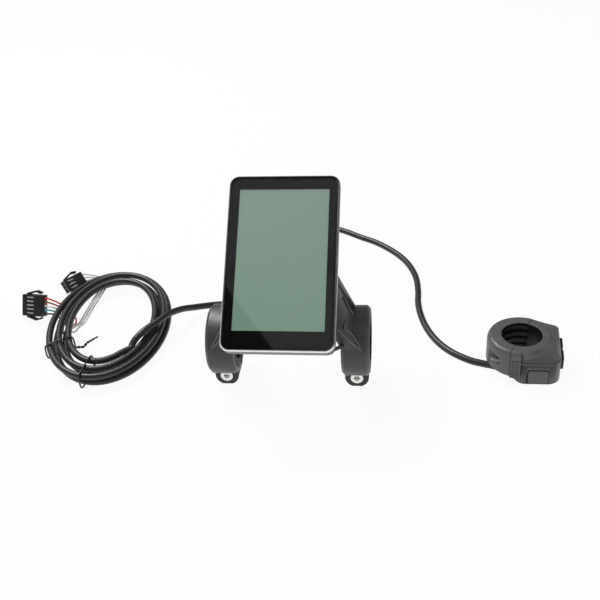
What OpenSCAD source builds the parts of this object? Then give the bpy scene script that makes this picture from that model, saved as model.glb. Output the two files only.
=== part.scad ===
// Handlebar display with a twin-clamp bracket, a clamp-on button remote,
// a short remote cable and a main cable wound into a flat oval coil.
// Millimetres. X runs along the handlebar, Y away from the rider, Z up.
// The origin is on the handlebar's axis, midway between the two clamps.

/* [Head] */
// Width of the cover glass
glass_w = 56; // [52:0.5:62]
// Length of the cover glass, up the face
glass_l = 92; // [86:0.5:100]
// Thickness of the cover glass
glass_t = 1.1; // [0.7:0.1:1.5]
// Corner radius of the cover glass
glass_r = 4; // [3:0.5:6]
// Width of the black border beside the clear window
border_w = 4.5; // [4:0.1:6]
// Width of the black border above the clear window
border_top = 6.2; // [5:0.1:8]
// Width of the black border below the clear window
border_low = 9.8; // [8:0.1:12]
// Width of the metal rim seen around the glass
rim_w = 1; // [0.8:0.1:1.6]
// Height of the metal frame's side wall
frame_h = 5; // [4.6:0.1:6]
// Depth of the head from the glass to its flat back
head_d = 12.5; // [12:0.1:15]
// Wall of the rear housing
case_wall = 1.6; // [1.2:0.1:2]
// Angle between the face and the ground
head_tilt = 41; // [35:0.5:48]
// Height of the glass over the handlebar's axis, square to the glass
head_rise = 49; // [47:0.5:54]
// How far the glass's centre lies up the face from the handlebar's axis
head_reach = 29; // [26:0.5:32]

/* [Cable box on the back of the head] */
// Width of the cable box
hump_w = 24; // [22:0.5:26]
// Length of the cable box
hump_l = 40; // [34:0.5:44]
// How far the cable box stands out behind the flat back
hump_d = 5; // [4:0.1:7]
// How far the cable box's centre lies below the glass's centre
hump_drop = 12; // [9:0.5:15]

/* [Clamps] */
// Diameter of the handlebar
bar_d = 22.2; // [21.8:0.1:22.6]
// Bore of the clamp rings, which the rubber reducers fill
ring_bore_d = 31.8; // [31.2:0.1:32.4]
// Wall of the clamp rings
ring_wall = 3.4; // [3.1:0.1:4.4]
// Width of each clamp ring, along the handlebar
ring_w = 15; // [13:0.5:16]
// Distance between the middles of the two clamp rings
ring_spacing = 73; // [70:0.5:80]
// Width of the slit in each ring
slit_w = 2; // [1.5:0.1:2.4]
// Width of the screw lug under each ring
lug_w = 13.2; // [12.5:0.1:14]
// Depth of the screw lug, front to back
lug_l = 14; // [13.5:0.5:16]
// Height of the pinch screw below the handlebar's axis
screw_drop = 20.3; // [20:0.1:21]
// Height of the lug's flat foot below the handlebar's axis
foot_drop = 26.3; // [26:0.1:27]
// Shank diameter of the pinch screw
pinch_d = 4; // [3.5:0.1:4.2]
// Head diameter of the pinch screw
pinch_head_d = 7; // [6.6:0.1:7.2]

/* [Arms] */
// Half width of the gap between the arms' pads on the back of the head
pad_gap = 13; // [13:0.1:14]
// How far an arm's pad lies in from the glass's side edge
pad_inset = 3; // [2.6:0.1:5]
// Length of an arm's pad, up the back of the head
pad_l = 31; // [28:0.5:33]
// How far the pad's lower edge lies below the glass's centre
pad_drop = 25; // [23:0.5:27]
// Diameter of the brace under each arm
brace_d = 2; // [1.6:0.1:2.6]
// Shank diameter of the screws that hold the arms
arm_screw_d = 3; // [2.6:0.1:3.2]

/* [Remote] */
// Where the remote's bore stands, along the handlebar's direction
remote_x = 126.4; // [120:0.1:135]
// Where the remote's bore stands, away from the rider
remote_y = 14.3; // [5:0.1:20]
// Height of the remote
remote_h = 21.3; // [21:0.1:23]
// Wall of the remote's clamp around its bore
remote_wall = 7.6; // [7.2:0.1:8]
// Outer diameter of the bushing half inside the button housing
bushing_d = 27.2; // [26.8:0.1:27.8]
// Outer diameter of the bushing half's top flange
flange_d = 31.2; // [30.6:0.1:31.6]
// Height of the clamp half's underside over the ground
clamp_lift = 4.8; // [4.8:0.1:5.4]
// Turn of the split between the two clamp halves
split_turn = 66; // [62:0.5:68]
// Wall of the button housing
pod_wall = 1.8; // [1.6:0.1:2]
// Height of the housing's belt, below the groove line
belt_h = 14.4; // [14:0.1:15]
// How far each button moves in
button_travel = 0.8; // [0.4:0.1:0.9]
// Shank diameter of the clamp half's screws
clamp_screw_d = 3; // [2.6:0.1:3.2]

/* [Cords] */
// Diameter of both cables
cord_d = 4; // [3.6:0.1:4.1]
// Turns in the coil
coil_turns = 4.28; // [4.2:0.02:4.36]
// Half length of the coil's outer turn, to the cord's middle
coil_long = 60; // [56:1:66]
// Half width of the coil's outer turn, to the cord's middle
coil_short = 37; // [34:1:42]
// Step from one turn to the next along the coil's length
pitch_long = 7.4; // [6:0.1:8]
// Step from one turn to the next across the coil
pitch_short = 5.6; // [5.2:0.1:6]
// Height from the lower layer of turns to the upper one
layer_rise = 4.7; // [4.6:0.1:5]
// Turn of the coil's long axis
coil_angle = 98; // [92:1:106]

/* [Plugs] */
// Length of a plug's body
plug_l = 14; // [13.5:0.5:17]
// Distance between neighbouring contacts
plug_pitch = 2.5; // [2.4:0.1:2.6]
// Thickness of a plug's body
plug_t = 6.4; // [6:0.1:7]
// Diameter of one wire
wire_d = 1.1; // [0.9:0.1:1.15]

/* [Hidden] */
$fn = 48;
over = 1;
fit = 0.1;
seat = 0.05;
floor_z = -foot_drop;

// Head stack, in depths behind the front of the glass
mask_t = 0.2;
window_w = glass_w - 2 * border_w;
window_l = glass_l - border_top - border_low;
window_rise = (border_low - border_top) / 2;
ledge_w = 1.8;
ledge_t = 1.2;
frame_wall = 1.2;
lcd_t = 1.6;
lcd_margin = 1.6;
guide_t = 1.8;
guide_gap = 0.4;
board_t = 1.2;
gasket_t = 0.6;
case_r = glass_r + rim_w;
case_inset = 0.5;
case_taper = 2.2;
mask_back = glass_t + mask_t;
ledge_back = mask_back + fit + ledge_t;
lip_w = glass_w + 2 * rim_w - 2 * frame_wall - 2 * fit;
lip_l = glass_l + 2 * rim_w - 2 * frame_wall - 2 * fit;
lip_r = case_r - frame_wall;
lip_back = ledge_back + gasket_t;
case_w = glass_w + 2 * rim_w - 2 * case_inset;
case_l = glass_l + 2 * rim_w - 2 * case_inset;
case_bend = (frame_h + head_d) / 2;
lcd_w = window_w + 2 * lcd_margin;
lcd_l = window_l + 2 * lcd_margin;
guide_back = mask_back + lcd_t + guide_t + 2 * seat;
board_back = guide_back + seat + board_t;
board_margin = 1.2;
board_w = lip_w - 2 * case_wall - 2 * board_margin;
board_l = lip_l - 2 * case_wall - 2 * board_margin;
hump_back = head_d + hump_d;
post_d = 5;
post_hole_d = 1.7;
post_inset = 4.2;

// Screws
case_screw_d = 2;
case_screw_head_d = 3.8;
case_screw_head_t = 1.4;
drive_share = 0.5;
arm_head_d = 5.4;
arm_head_t = 1.8;
arm_screw_l = 8;
pinch_head_t = 4;
pinch_sink = 3.2;
pinch_socket_d = 3.4;
pinch_play = 0.2;
nut_af = 7;
nut_t = 3.2;

// Clamp rings and arms
ring_r = ring_bore_d / 2 + ring_wall;
ring_chamfer = 1.6;
ring_mid = ring_spacing / 2;
bore_reach = ring_mid + ring_w;
pad_edge = glass_w / 2 - pad_inset;
arm_sides = 20;
arm_rings = 12;
arm_round_share = 0.36;
arm_front_share = 0.5;
arm_back_shares = [0.3, 0.55];
arm_inner_share = 0.86;
arm_edge_shares = [0.62, 0.22];
arm_screw_shares = [0.3, 0.8];
root_inner = ring_mid - ring_w / 2 + fit;
root_edge_shares = [0.36, 0.14];
root_edges = [for (share = root_edge_shares) ring_mid + share * ring_w];
root_front_turn = 4;
root_back_turn = 106;
root_share = 0.92;
brace_turn = 27;
function on_ring(turn) = [-head_reach - root_share * ring_r * cos(turn + head_tilt),
    -head_rise + root_share * ring_r * sin(turn + head_tilt)];
root_front = on_ring(root_front_turn);
root_back = on_ring(root_back_turn);
channel_share = 0.73;
channel_sides = 16;
channel_rings = 6;
channel_shares = [0.25, 1.05];
channel_start_share = 0.12;
channel_r = 5;

// Cable glands
gland_x = 6.5;
gland_y = -3;
gland_l = 12;
gland_d = 8;
gland_collar_t = 2;

// Remote
bore_r = bar_d / 2;
clamp_r = bore_r + remote_wall;
bushing_r = bushing_d / 2;
flange_r = flange_d / 2;
flange_t = 4;
half_gap = 0.3;
groove_h = 1;
groove_in = 0.9;
shoulder_in = 2.4;
top_round = 3.6;
rib_h = 2.2;
rib_gap = 2.2;
rib_in = 0.6;
base_t = 1.6;
block_end = 264;
lug_reach = 15;
ceiling_rise = 0.9;
pod_ceiling = belt_h + ceiling_rise;
pod_front = 17.8;
pod_right = 20.4;
pod_lean = 4.5;
pod_corner = 7;
pod_left_x = 1.5;
pod_left_y = -11.8;
pod_left_r = 6;
pod_edge = 1;
pod_steps = 9;
crown_share = 0.6;
crown_round_share = 0.4;
pod_back_x = 18.5;
pod_back_y = 9.8;
pod_back_r = 3.5;
pod_bulge_x = 4.5;
pod_bulge_y = 11;
pod_bulge_r = 9.3;
lug_end = 46;
boot_l = 10;
boot_w = 7.6;
boot_h = 4.2;
boot_z = 2.2;
boot_turn = 27;
boot_start = pod_left_r - pod_wall + fit;
boss_d = 3.8;
boss_places = [[14.6, 11.9], [14.3, -11.9]];
base_screw_d = 2;
base_screw_l = 5;
base_head_d = 3.6;
base_head_t = 0.9;

// Buttons
cap_w = 8.8;
cap_h = 8;
cap_proud = 1.4;
cap_round = 1.6;
cap_z = 10;
cap_spacing = 11.2;
cap_play = 0.3;
flange_lip = 0.7;
flange_plate = 0.9;
side_x = 21.2;
side_y = 0.2;
mode_w = 11.4;
mode_h = 8.8;
mode_x = 7.6;
mode_z = 5.8;
mode_proud = 0.3;
tact_w = 4;
tact_t = 1.2;
plunger_d = 1.8;
plunger_t = 0.3;
remote_board_t = 0.8;
remote_board_w = 18;
remote_board_h = 12.5;
remote_board_z = 2.2;
mode_board_x = 7.7;
mode_board_w = 4.5;
mode_board_h = 8;
switch_back = pod_wall + cap_play + flange_plate + button_travel + 2 * seat;

// Cords: places on the floor as x, y and how far the cord is lifted off it
remote_lay = [[7, 19, 41], [8, 29, 26], [9, 41, 11], [8, 57, 2], [5, 77, 0], [0, 101, 0],
    [-2, 126, 0], [-1, 148, 0], [3, 163, 0], [9, 170.3, 0], [17, 167.8, 0], [29.6, 158.6, 0],
    [42.3, 149.7, 0], [54.8, 136.3, 0], [63.3, 122.3, 0], [68.6, 105.5, 0], [70.2, 88.5, 0],
    [70.2, 74.2, 0], [71.8, 60.5, 0], [75.3, 46.6, 0], [81.3, 33.2, 0], [89.1, 23.1, 0],
    [98.7, 15.8, 0], [105.8, 12.6, 0.2]];
main_lay = [[-7, 18, 41], [-9, 28, 26], [-12, 40, 11], [-17, 54, 2], [-27, 66, 0.1],
    [-41, 70, 0.1], [-54, 70, 0.5], [-63, 66, 2], [-70, 61, 4], [-75, 54, 7.5], [-79, 47, 10],
    [-82, 41, 11.4], [-85, 35, 11.7], [-89, 29, 11.5], [-92, 24, 11.2], [-95.2, 19.6, 9.6],
    [-97.3, 16.6, 7.2]];
spline_steps = 2;
coil_x = -119;
coil_y = 43;
coil_start = -52;
coil_rings = 24;
coil_sides = 6;
cord_sides = 8;
tie_d = 1;
tie_gap = 0.35;
coil_base = floor_z + tie_d + tie_gap + cord_d / 2;
outward_turns = 2.5;
climb = 0.25;
sleeve_l = 7;
sleeve_d = 4.7;
wire_sides = 6;
wire_ease = 4.5;
wire_ring_r = 1.65;

// Plugs
plug_a_pins = 5;
plug_b_pins = 3;
plug_rim = 1.7;
slot_l = 5.6;
slot_w = 1.3;
slot_from_end = 2.2;
cavity_l = 9;
cavity_w = 1.7;
cavity_t = 2.2;
wing_t = 1.1;
wing_w = 3.6;
wing_out = 3;
contact_l = 7;
contact_w = 1;
plug_a_lean = 64;
plug_a_turn = -7;
plug_a_at = [-172, 56, floor_z + 10];
plug_b_lean = 50;
plug_b_turn = 55;
plug_b_at = [-157, 86.8, floor_z + 7.5];
wire_count = plug_a_pins + plug_b_pins;

// Colours
black_plastic = [0.13, 0.13, 0.135];
dark_plastic = [0.22, 0.22, 0.225];
grey_plastic = [0.3, 0.3, 0.305];
rubber_black = [0.09, 0.09, 0.09];
steel = [0.75, 0.75, 0.74];

function unit(v) = v / norm(v);
function mix(a, b, t) = a + (b - a) * t;
function bend(a, b, c, t) = mix(mix(a, b, t), mix(b, c, t), t);
function signed_power(v, p) = sign(v) * pow(abs(v), p);

// A place in the head's own frame, carried to the part's frame
function head_turn(p) = [p[0], p[1] * cos(head_tilt) - p[2] * sin(head_tilt),
    p[1] * sin(head_tilt) + p[2] * cos(head_tilt)];
function head_place(p) = head_turn([p[0], p[1] + head_reach, p[2] + head_rise]);

// A smooth curve through a list of places
function curve_at(a, b, c, d, t) = 0.5 * (2 * b + (c - a) * t
    + (2 * a - 5 * b + 4 * c - d) * t * t + (3 * b - a - 3 * c + d) * t * t * t);
function curve(p, steps) = let (last = len(p) - 1) concat(
    [for (i = [0:last - 1], j = [0:steps - 1])
        curve_at(p[max(i - 1, 0)], p[i], p[i + 1], p[min(i + 2, last)], j / steps)],
    [p[last]]);
function heading(p, i) = unit(p[min(i + 1, len(p) - 1)] - p[max(i - 1, 0)]);
function ring_at(c, t, r, n) = let (s = unit(cross(t, [0, 0, 1])), u = cross(s, t))
    [for (k = [0:n - 1]) c + r * cos(360 * (k + 0.5) / n) * s + r * sin(360 * (k + 0.5) / n) * u];

// Skin over a row of rings that all have the same number of points
module skin(rings) {
    n = len(rings[0]);
    m = len(rings);
    polyhedron(points = [for (r = rings) each r], faces = concat(
        [for (i = [0:m - 2], k = [0:n - 1]) [i * n + k, i * n + (k + 1) % n, (i + 1) * n + k]],
        [for (i = [0:m - 2], k = [0:n - 1])
            [i * n + (k + 1) % n, (i + 1) * n + (k + 1) % n, (i + 1) * n + k]],
        [for (k = [1:n - 2]) [0, k + 1, k]],
        [for (k = [1:n - 2]) [(m - 1) * n, (m - 1) * n + k, (m - 1) * n + k + 1]]));
}

module tube(path, d, n, first, last) {
    m = len(path) - 1;
    skin([for (i = [0:m])
        ring_at(path[i], i == 0 ? first : i == m ? last : heading(path, i), d / 2, n)]);
}

// Flat shapes and slabs
module rounded(w, l, r) {
    square([w - 2 * r, l], center = true);
    square([w, l - 2 * r], center = true);
    for (sx = [-1, 1], sy = [-1, 1])
        translate([sx * (w / 2 - r), sy * (l / 2 - r)]) circle(r);
}

module slab(w, l, r, deep, high) {
    translate([0, 0, -deep]) linear_extrude(deep - high) rounded(w, l, r);
}

module in_head() {
    rotate([head_tilt, 0, 0]) translate([0, head_reach, head_rise]) children();
}

module both_sides() {
    children();
    mirror([1, 0, 0]) children();
}

module along_y(x, z) {
    translate([x, 0, z]) rotate([-90, 0, 0]) children();
}

// Head
module cover_glass() {
    color([0.05, 0.05, 0.055]) in_head() slab(glass_w, glass_l, glass_r, glass_t, 0);
}

module mask_film() {
    color([0.02, 0.02, 0.02]) in_head() difference() {
        slab(glass_w - 2 * fit, glass_l - 2 * fit, glass_r, mask_back, glass_t);
        translate([0, window_rise, over]) slab(window_w, window_l, fit, mask_back + 2 * over, 0);
    }
}

module metal_frame() {
    ledge_r = glass_r - ledge_w / 2;
    color([0.78, 0.79, 0.8]) in_head() difference() {
        slab(glass_w + 2 * rim_w, glass_l + 2 * rim_w, case_r, frame_h, 0);
        slab(glass_w + 2 * fit, glass_l + 2 * fit, glass_r + fit, mask_back + fit, -over);
        slab(glass_w - 2 * ledge_w, glass_l - 2 * ledge_w, ledge_r, frame_h + over, 0);
        slab(lip_w + 2 * fit, lip_l + 2 * fit, lip_r + fit, frame_h + over, ledge_back);
    }
}

module lcd_panel() {
    color([0.49, 0.58, 0.53]) in_head() translate([0, window_rise, 0])
        slab(lcd_w, lcd_l, fit, mask_back + lcd_t, mask_back);
}

module light_guide() {
    color([0.9, 0.92, 0.9]) in_head() difference() {
        translate([0, window_rise, 0])
            slab(lcd_w, lcd_l, fit, guide_back, mask_back + lcd_t + seat);
        post_places() translate([0, 0, -head_d])
            cylinder(d = case_screw_head_d + 2 * guide_gap, h = head_d);
    }
}

module post_places() {
    for (sx = [-1, 1], sy = [-1, 1])
        translate([sx * (lip_w / 2 - case_wall - post_inset),
            sy * (lip_l / 2 - case_wall - post_inset), 0]) children();
}

module circuit_board() {
    color([0.1, 0.35, 0.2]) in_head() difference() {
        slab(board_w, board_l, lip_r, board_back, board_back - board_t);
        post_places() translate([0, 0, -head_d]) cylinder(d = case_screw_d + 2 * fit, h = head_d);
    }
}

module board_components() {
    chip_t = 1.4;
    chip_w = 9;
    driver_l = 16;
    driver_w = 6;
    buzzer_d = 8.5;
    buzzer_t = 2.2;
    socket_w = 11;
    socket_l = 5;
    color([0.12, 0.12, 0.12]) in_head() translate([0, 0, -board_back - seat]) {
        translate([-chip_w / 2, board_l / 5, -chip_t]) cube([chip_w, chip_w, chip_t]);
        translate([-driver_l / 2, board_l / 3, -chip_t]) cube([driver_l, driver_w, chip_t]);
        translate([board_w / 4, -board_l / 3, -buzzer_t]) cylinder(d = buzzer_d, h = buzzer_t);
        for (sx = [-1, 1])
            translate([sx * board_w / 6 - socket_w / 2, -board_l / 8, -buzzer_t])
                cube([socket_w, socket_l, buzzer_t]);
    }
}

module gasket() {
    color(rubber_black) in_head() difference() {
        slab(lip_w - fit, lip_l - fit, lip_r, lip_back - seat, ledge_back + seat);
        slab(glass_w - 2 * ledge_w, glass_l - 2 * ledge_w, glass_r - ledge_w / 2,
            lip_back + over, 0);
    }
}

module block(w, l, deep, high) {
    translate([-w / 2, -l / 2, -deep]) cube([w, l, deep - high]);
}

module case_solid() {
    intersection() {
        slab(case_w, case_l, case_r, head_d, frame_h + seat);
        hull() {
            block(case_w, case_l, case_bend, 0);
            block(case_w - 2 * case_taper, case_l - 2 * case_taper, head_d, case_bend);
        }
    }
}

module hump_solid(inset, top, back) {
    translate([0, -hump_drop, 0])
        slab(hump_w - 2 * inset, hump_l - 2 * inset, case_r - inset, back, top);
}

module arm_screw_places(side) {
    for (share = arm_screw_shares)
        translate([side * (pad_gap + pad_edge) / 2, share * pad_l - pad_drop, 0]) children();
}

module rear_housing() {
    $fn = 32;
    color(dark_plastic) in_head() difference() {
        union() {
            difference() {
                union() {
                    slab(lip_w, lip_l, lip_r, frame_h + over, lip_back);
                    case_solid();
                    hump_solid(0, head_d - case_wall, hump_back);
                }
                slab(lip_w - 2 * case_wall, lip_l - 2 * case_wall, lip_r - case_wall, case_bend, 0);
                slab(case_w - 2 * case_taper - 2 * case_wall, case_l - 2 * case_taper - 2 * case_wall,
                    lip_r - case_wall, head_d - case_wall, 0);
                hump_solid(case_wall, frame_h, hump_back - case_wall);
            }
            post_places() translate([0, 0, -head_d + fit])
                cylinder(d = post_d, h = head_d - board_back - seat - fit);
        }
        post_places() translate([0, 0, -head_d + case_wall])
            cylinder(d = post_hole_d, h = head_d);
        for (side = [-1, 1]) arm_screw_places(side) translate([0, 0, -head_d - over])
            cylinder(d = arm_screw_d + 2 * fit, h = case_wall + 2 * over);
        for (side = [-1, 1]) translate([side * gland_x, gland_y, -hump_back - over])
            cylinder(d = cord_d + 2 * fit, h = case_wall + 2 * over);
    }
}

module pan_screw(d, head_d, head_t, l) {
    difference() {
        union() {
            cylinder(d = head_d, h = head_t);
            translate([0, 0, -l]) cylinder(d = d, h = l);
        }
        for (turn = [0, 90]) rotate([0, 0, turn])
            translate([-head_d * drive_share / 2, -head_t / 4, head_t / 2])
                cube([head_d * drive_share, head_t / 2, head_t]);
    }
}

module housing_screws() {
    hold = 4;
    color(steel) in_head() post_places() translate([0, 0, -board_back + board_t + seat])
        pan_screw(post_hole_d - 2 * seat, case_screw_head_d, case_screw_head_t / 2, hold);
}

// Clamp rings with their arms
module ring_profile() {
    polygon([[0, 0], [ring_r - ring_chamfer, 0], [ring_r, ring_chamfer],
        [ring_r, ring_w - ring_chamfer], [ring_r - ring_chamfer, ring_w], [0, ring_w]]);
}

module ring_solid() {
    translate([ring_mid - ring_w / 2, 0, 0]) rotate([0, 90, 0]) rotate_extrude()
        ring_profile();
    translate([ring_mid - lug_w / 2, -lug_l / 2, -screw_drop])
        cube([lug_w, lug_l, screw_drop - bore_r]);
    translate([ring_mid, -lug_l / 2, -screw_drop]) rotate([-90, 0, 0])
        cylinder(d = lug_w, h = lug_l);
}

// Place in the arm: along it from its pad on the head to its clamp ring, across it
// from its inner side to its outer side, and through it from front to back
function arm_place(along, across, through) = let (
    pad_front = [-pad_drop, -head_d],
    pad_back = [pad_l - pad_drop, -head_d],
    front = bend(pad_front, mix(pad_front, root_front, arm_front_share), root_front, along),
    back = bend(pad_back, [mix(pad_back[0], root_back[0], arm_back_shares[0]),
        mix(pad_back[1], root_back[1], arm_back_shares[1])], root_back, along),
    inner = bend(pad_gap, mix(pad_gap, root_inner, arm_inner_share), root_inner, along),
    edges = [for (i = [0, 1])
        bend(pad_edge, mix(pad_edge, root_edges[i], arm_edge_shares[i]), root_edges[i], along)])
    concat([mix(inner, mix(edges[0], edges[1], through), across)], mix(front, back, through));

function boxed(s) = 0.5 + 0.5 * signed_power(s, arm_round_share);

module arm_solid() {
    in_head() skin([for (i = [0:arm_rings]) [for (k = [0:arm_sides - 1])
        let (a = 360 * k / arm_sides) arm_place(i / arm_rings, boxed(cos(a)), boxed(sin(a)))]]);
}

// Tapered channel down the arm's outer side
channel_path = [for (i = [0:channel_rings]) arm_place(
    mix(channel_shares[0], channel_shares[1], i / channel_rings), 1, channel_share)];

module arm_channel() {
    in_head() skin([for (i = [0:channel_rings]) ring_at(channel_path[i],
        heading(channel_path, i), channel_r * mix(channel_start_share, 1, i / channel_rings),
        channel_sides)]);
}

module brace() {
    foot = head_place([case_w / 2 - case_taper - brace_d / 2,
        brace_d / 2 + case_taper - case_l / 2, -head_d - brace_d / 2 - 3 * fit]);
    knee = head_place(concat([root_inner + brace_d], on_ring(brace_turn)));
    hull() {
        translate(foot) sphere(d = brace_d, $fn = 16);
        translate(knee) sphere(d = brace_d, $fn = 16);
    }
}

module arm() {
    difference() {
        union() {
            ring_solid();
            difference() {
                arm_solid();
                arm_channel();
            }
            brace();
        }
        rotate([0, 90, 0]) cylinder(d = ring_bore_d, h = bore_reach);
        translate([pad_gap / 2, -slit_w / 2, -foot_drop - over])
            cube([bore_reach, slit_w, foot_drop]);
        translate([pad_gap, -lug_l, -foot_drop - over])
            cube([bore_reach, 2 * lug_l, over]);
        translate([0, -lug_l / 2 - over, 0]) along_y(ring_mid, -screw_drop)
            cylinder(d = pinch_head_d + 4 * fit, h = pinch_sink + over);
        translate([0, -lug_l, 0]) along_y(ring_mid, -screw_drop)
            cylinder(d = pinch_d + pinch_play, h = 2 * lug_l);
        translate([0, lug_l / 2 - nut_t, 0]) along_y(ring_mid, -screw_drop)
            cylinder(d = (nut_af + 2 * fit) / cos(30), h = nut_t + over, $fn = 6);
        in_head() arm_screw_places(1) translate([0, 0, -head_d - arm_screw_l])
            cylinder(d = arm_screw_d + 2 * seat, h = arm_screw_l + over);
    }
}

module right_arm() {
    color(grey_plastic) arm();
}

module left_arm() {
    color(grey_plastic) mirror([1, 0, 0]) arm();
}

module arm_screws() {
    color(steel) in_head() for (side = [-1, 1]) arm_screw_places(side)
        translate([0, 0, -head_d + case_wall + seat])
            pan_screw(arm_screw_d, arm_head_d, arm_head_t, arm_screw_l - fit);
}

module reducer() {
    color(rubber_black) translate([ring_mid - ring_w / 2, 0, 0]) difference() {
        rotate([0, 90, 0]) cylinder(d = ring_bore_d - 2 * seat, h = ring_w);
        translate([-over, 0, 0]) rotate([0, 90, 0]) cylinder(d = bar_d, h = ring_w + 2 * over);
        translate([-over, -slit_w / 2, -ring_bore_d])
            cube([ring_w + 2 * over, slit_w, ring_bore_d]);
    }
}

module right_reducer() {
    reducer();
}

module left_reducer() {
    mirror([1, 0, 0]) reducer();
}

module pinch_screws() {
    head_at = -lug_l / 2 + pinch_sink - pinch_head_t;
    shank_l = lug_l / 2 - head_at - pinch_head_t;
    color(steel) both_sides() translate([0, head_at, 0]) along_y(ring_mid, -screw_drop)
        difference() {
            union() {
                cylinder(d = pinch_head_d, h = pinch_head_t);
                translate([0, 0, pinch_head_t]) cylinder(d = pinch_d, h = shank_l);
            }
            translate([0, 0, -over])
                cylinder(d = pinch_socket_d, h = pinch_head_t / 2 + over, $fn = 6);
        }
}

module pinch_nuts() {
    color(steel) both_sides() translate([0, lug_l / 2 - nut_t + seat, 0])
        along_y(ring_mid, -screw_drop) difference() {
            cylinder(d = nut_af / cos(30), h = nut_t - seat, $fn = 6);
            translate([0, 0, -over]) cylinder(d = pinch_d + 2 * seat, h = nut_t + 2 * over);
        }
}

// Cable glands on the back of the cable box, and the cables
module gland() {
    color(rubber_black) in_head() translate([gland_x, gland_y, -hump_back]) mirror([0, 0, 1])
        rotate_extrude() polygon([[0, 0], [gland_d / 2, 0], [gland_d / 2, gland_collar_t],
            [(gland_d + cord_d) / 4 + fit, gland_collar_t + fit],
            [cord_d / 2 + 2 * fit, gland_l], [0, gland_l]]);
}

module remote_gland() {
    gland();
}

module main_gland() {
    mirror([1, 0, 0]) gland();
}

gland_way = head_turn([0, 0, -1]);
function gland_exit(side) = head_place([side * gland_x, gland_y, -hump_back - gland_l]);
function leaving(side) = [gland_exit(side), gland_exit(side) + gland_way * cord_d * 1.5];
function laid(p) = [p[0], p[1], p[2] + floor_z + cord_d / 2];
boot_way = [cos(boot_turn), -sin(boot_turn), 0];
boot_end = [remote_x + pod_left_x, remote_y + pod_left_y, floor_z + boot_z]
    - boot_way * (boot_start + boot_l);
remote_route = concat(leaving(1), [for (p = remote_lay) laid(p)],
    [boot_end - boot_way * cord_d, boot_end]);

// The coil: out over its upper layer, down a layer, and in again under it
function coil_step(t) = abs(outward_turns - t);
function coil_level(t) = let (u = (t - outward_turns + climb) / (2 * climb))
    u <= 0 ? 1 : u >= 1 ? 0 : 1 - u * u * (3 - 2 * u);
function coil_place(t) = let (
    a = coil_start - 360 * t - coil_angle,
    x = (coil_long - pitch_long * coil_step(t)) * cos(a),
    y = (coil_short - pitch_short * coil_step(t)) * sin(a))
    [coil_x + x * cos(coil_angle) - y * sin(coil_angle),
        coil_y + x * sin(coil_angle) + y * cos(coil_angle),
        coil_base + layer_rise * coil_level(t)];
coil_count = round(coil_turns * coil_rings);
coil_middle = [for (i = [0:coil_count]) coil_place(coil_turns * i / coil_count)];
coil_in = unit(coil_middle[1] - coil_middle[0]);
coil_out = unit(coil_place(coil_turns + 1 / coil_rings) - coil_middle[coil_count]);
coil_first = coil_middle[0] - coil_in * cord_d;
coil_last = coil_middle[coil_count] + coil_out * cord_d;
coil_path = concat([coil_first], coil_middle, [coil_last]);
main_route = concat([for (p = leaving(-1)) p], [for (p = main_lay) laid(p)],
    [coil_first - coil_in * 0.8 * cord_d, coil_first]);

coil_gaps = [for (i = [0:coil_count], j = [i + 8:1:coil_count])
    norm(coil_middle[i] - coil_middle[j]) - cord_d];
echo(coil_least_gap = min(coil_gaps));

function path_length(p) = len(p) < 2 ? 0
    : [for (i = 1, s = norm(p[1] - p[0]); i < len(p); i = i + 1,
        s = s + (i < len(p) ? norm(p[i] - p[i - 1]) : 0)) s][len(p) - 2];
echo(coil_length = path_length(coil_path));
echo(main_length = path_length(curve(main_route, spline_steps)));
echo(remote_length = path_length(curve(remote_route, spline_steps)));

module remote_cable() {
    color(black_plastic) tube(curve(remote_route, spline_steps), cord_d, cord_sides,
        gland_way, boot_way);
}

module main_cable() {
    color(black_plastic) tube(curve(main_route, spline_steps), cord_d, cord_sides,
        gland_way, coil_in);
}

module main_cable_coil() {
    color(black_plastic) tube(coil_path, cord_d, coil_sides, coil_in, coil_out);
}

// Twist ties: one turn of wire round the coil's bundle, with a twisted tail
tie_turn_shares = [0.26, 0.12];
function across(t) = unit(cross(coil_place(t + 0.01) - coil_place(t), [0, 0, 1]));
function tie_corner(t) = let (
    outer = coil_place(t + floor(outward_turns)),
    inner = coil_place(t),
    out = across(t) * sign(across(t) * (outer - inner)))
    [outer, inner, out];

module tie(t, tail) {
    corners = tie_corner(t);
    clear = cord_d / 2 + tie_gap + tie_d / 2;
    far = corners[0] + corners[2] * clear;
    near = corners[1] - corners[2] * clear;
    low = floor_z + tie_d / 2;
    high = coil_base + layer_rise + clear;
    drop = clear * 0.6;
    loop = [[near[0], near[1], high - drop], [near[0], near[1], low + drop],
        [near[0], near[1], low] + corners[2] * drop, [far[0], far[1], low] - corners[2] * drop,
        [far[0], far[1], low + drop], [far[0], far[1], high - drop],
        [far[0], far[1], high] - corners[2] * drop, [near[0], near[1], high] + corners[2] * drop];
    for (i = [0:7]) hull() {
        translate(loop[i]) sphere(d = tie_d, $fn = 8);
        translate(loop[(i + 1) % 8]) sphere(d = tie_d, $fn = 8);
    }
    root = [near[0], near[1], low + drop];
    for (i = [0:len(tail) - 2]) hull() {
        translate(root + tail[i]) sphere(d = tie_d, $fn = 8);
        translate(root + tail[i + 1]) sphere(d = tie_d, $fn = 8);
    }
}

left_tail = [[0, 0, 0], [2, -1, 1], [5, 0, 0.5], [7, 2, 2], [9, 6, 1.5], [11, 10, 1]];
front_tail = [[0, 0, 0], [-1, 4, 1], [2, 5, 1.5], [3, 3, 1]];

module left_tie() {
    color(rubber_black) tie(tie_turn_shares[0], left_tail);
}

module front_tie() {
    color(rubber_black) tie(tie_turn_shares[1], front_tail);
}

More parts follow.
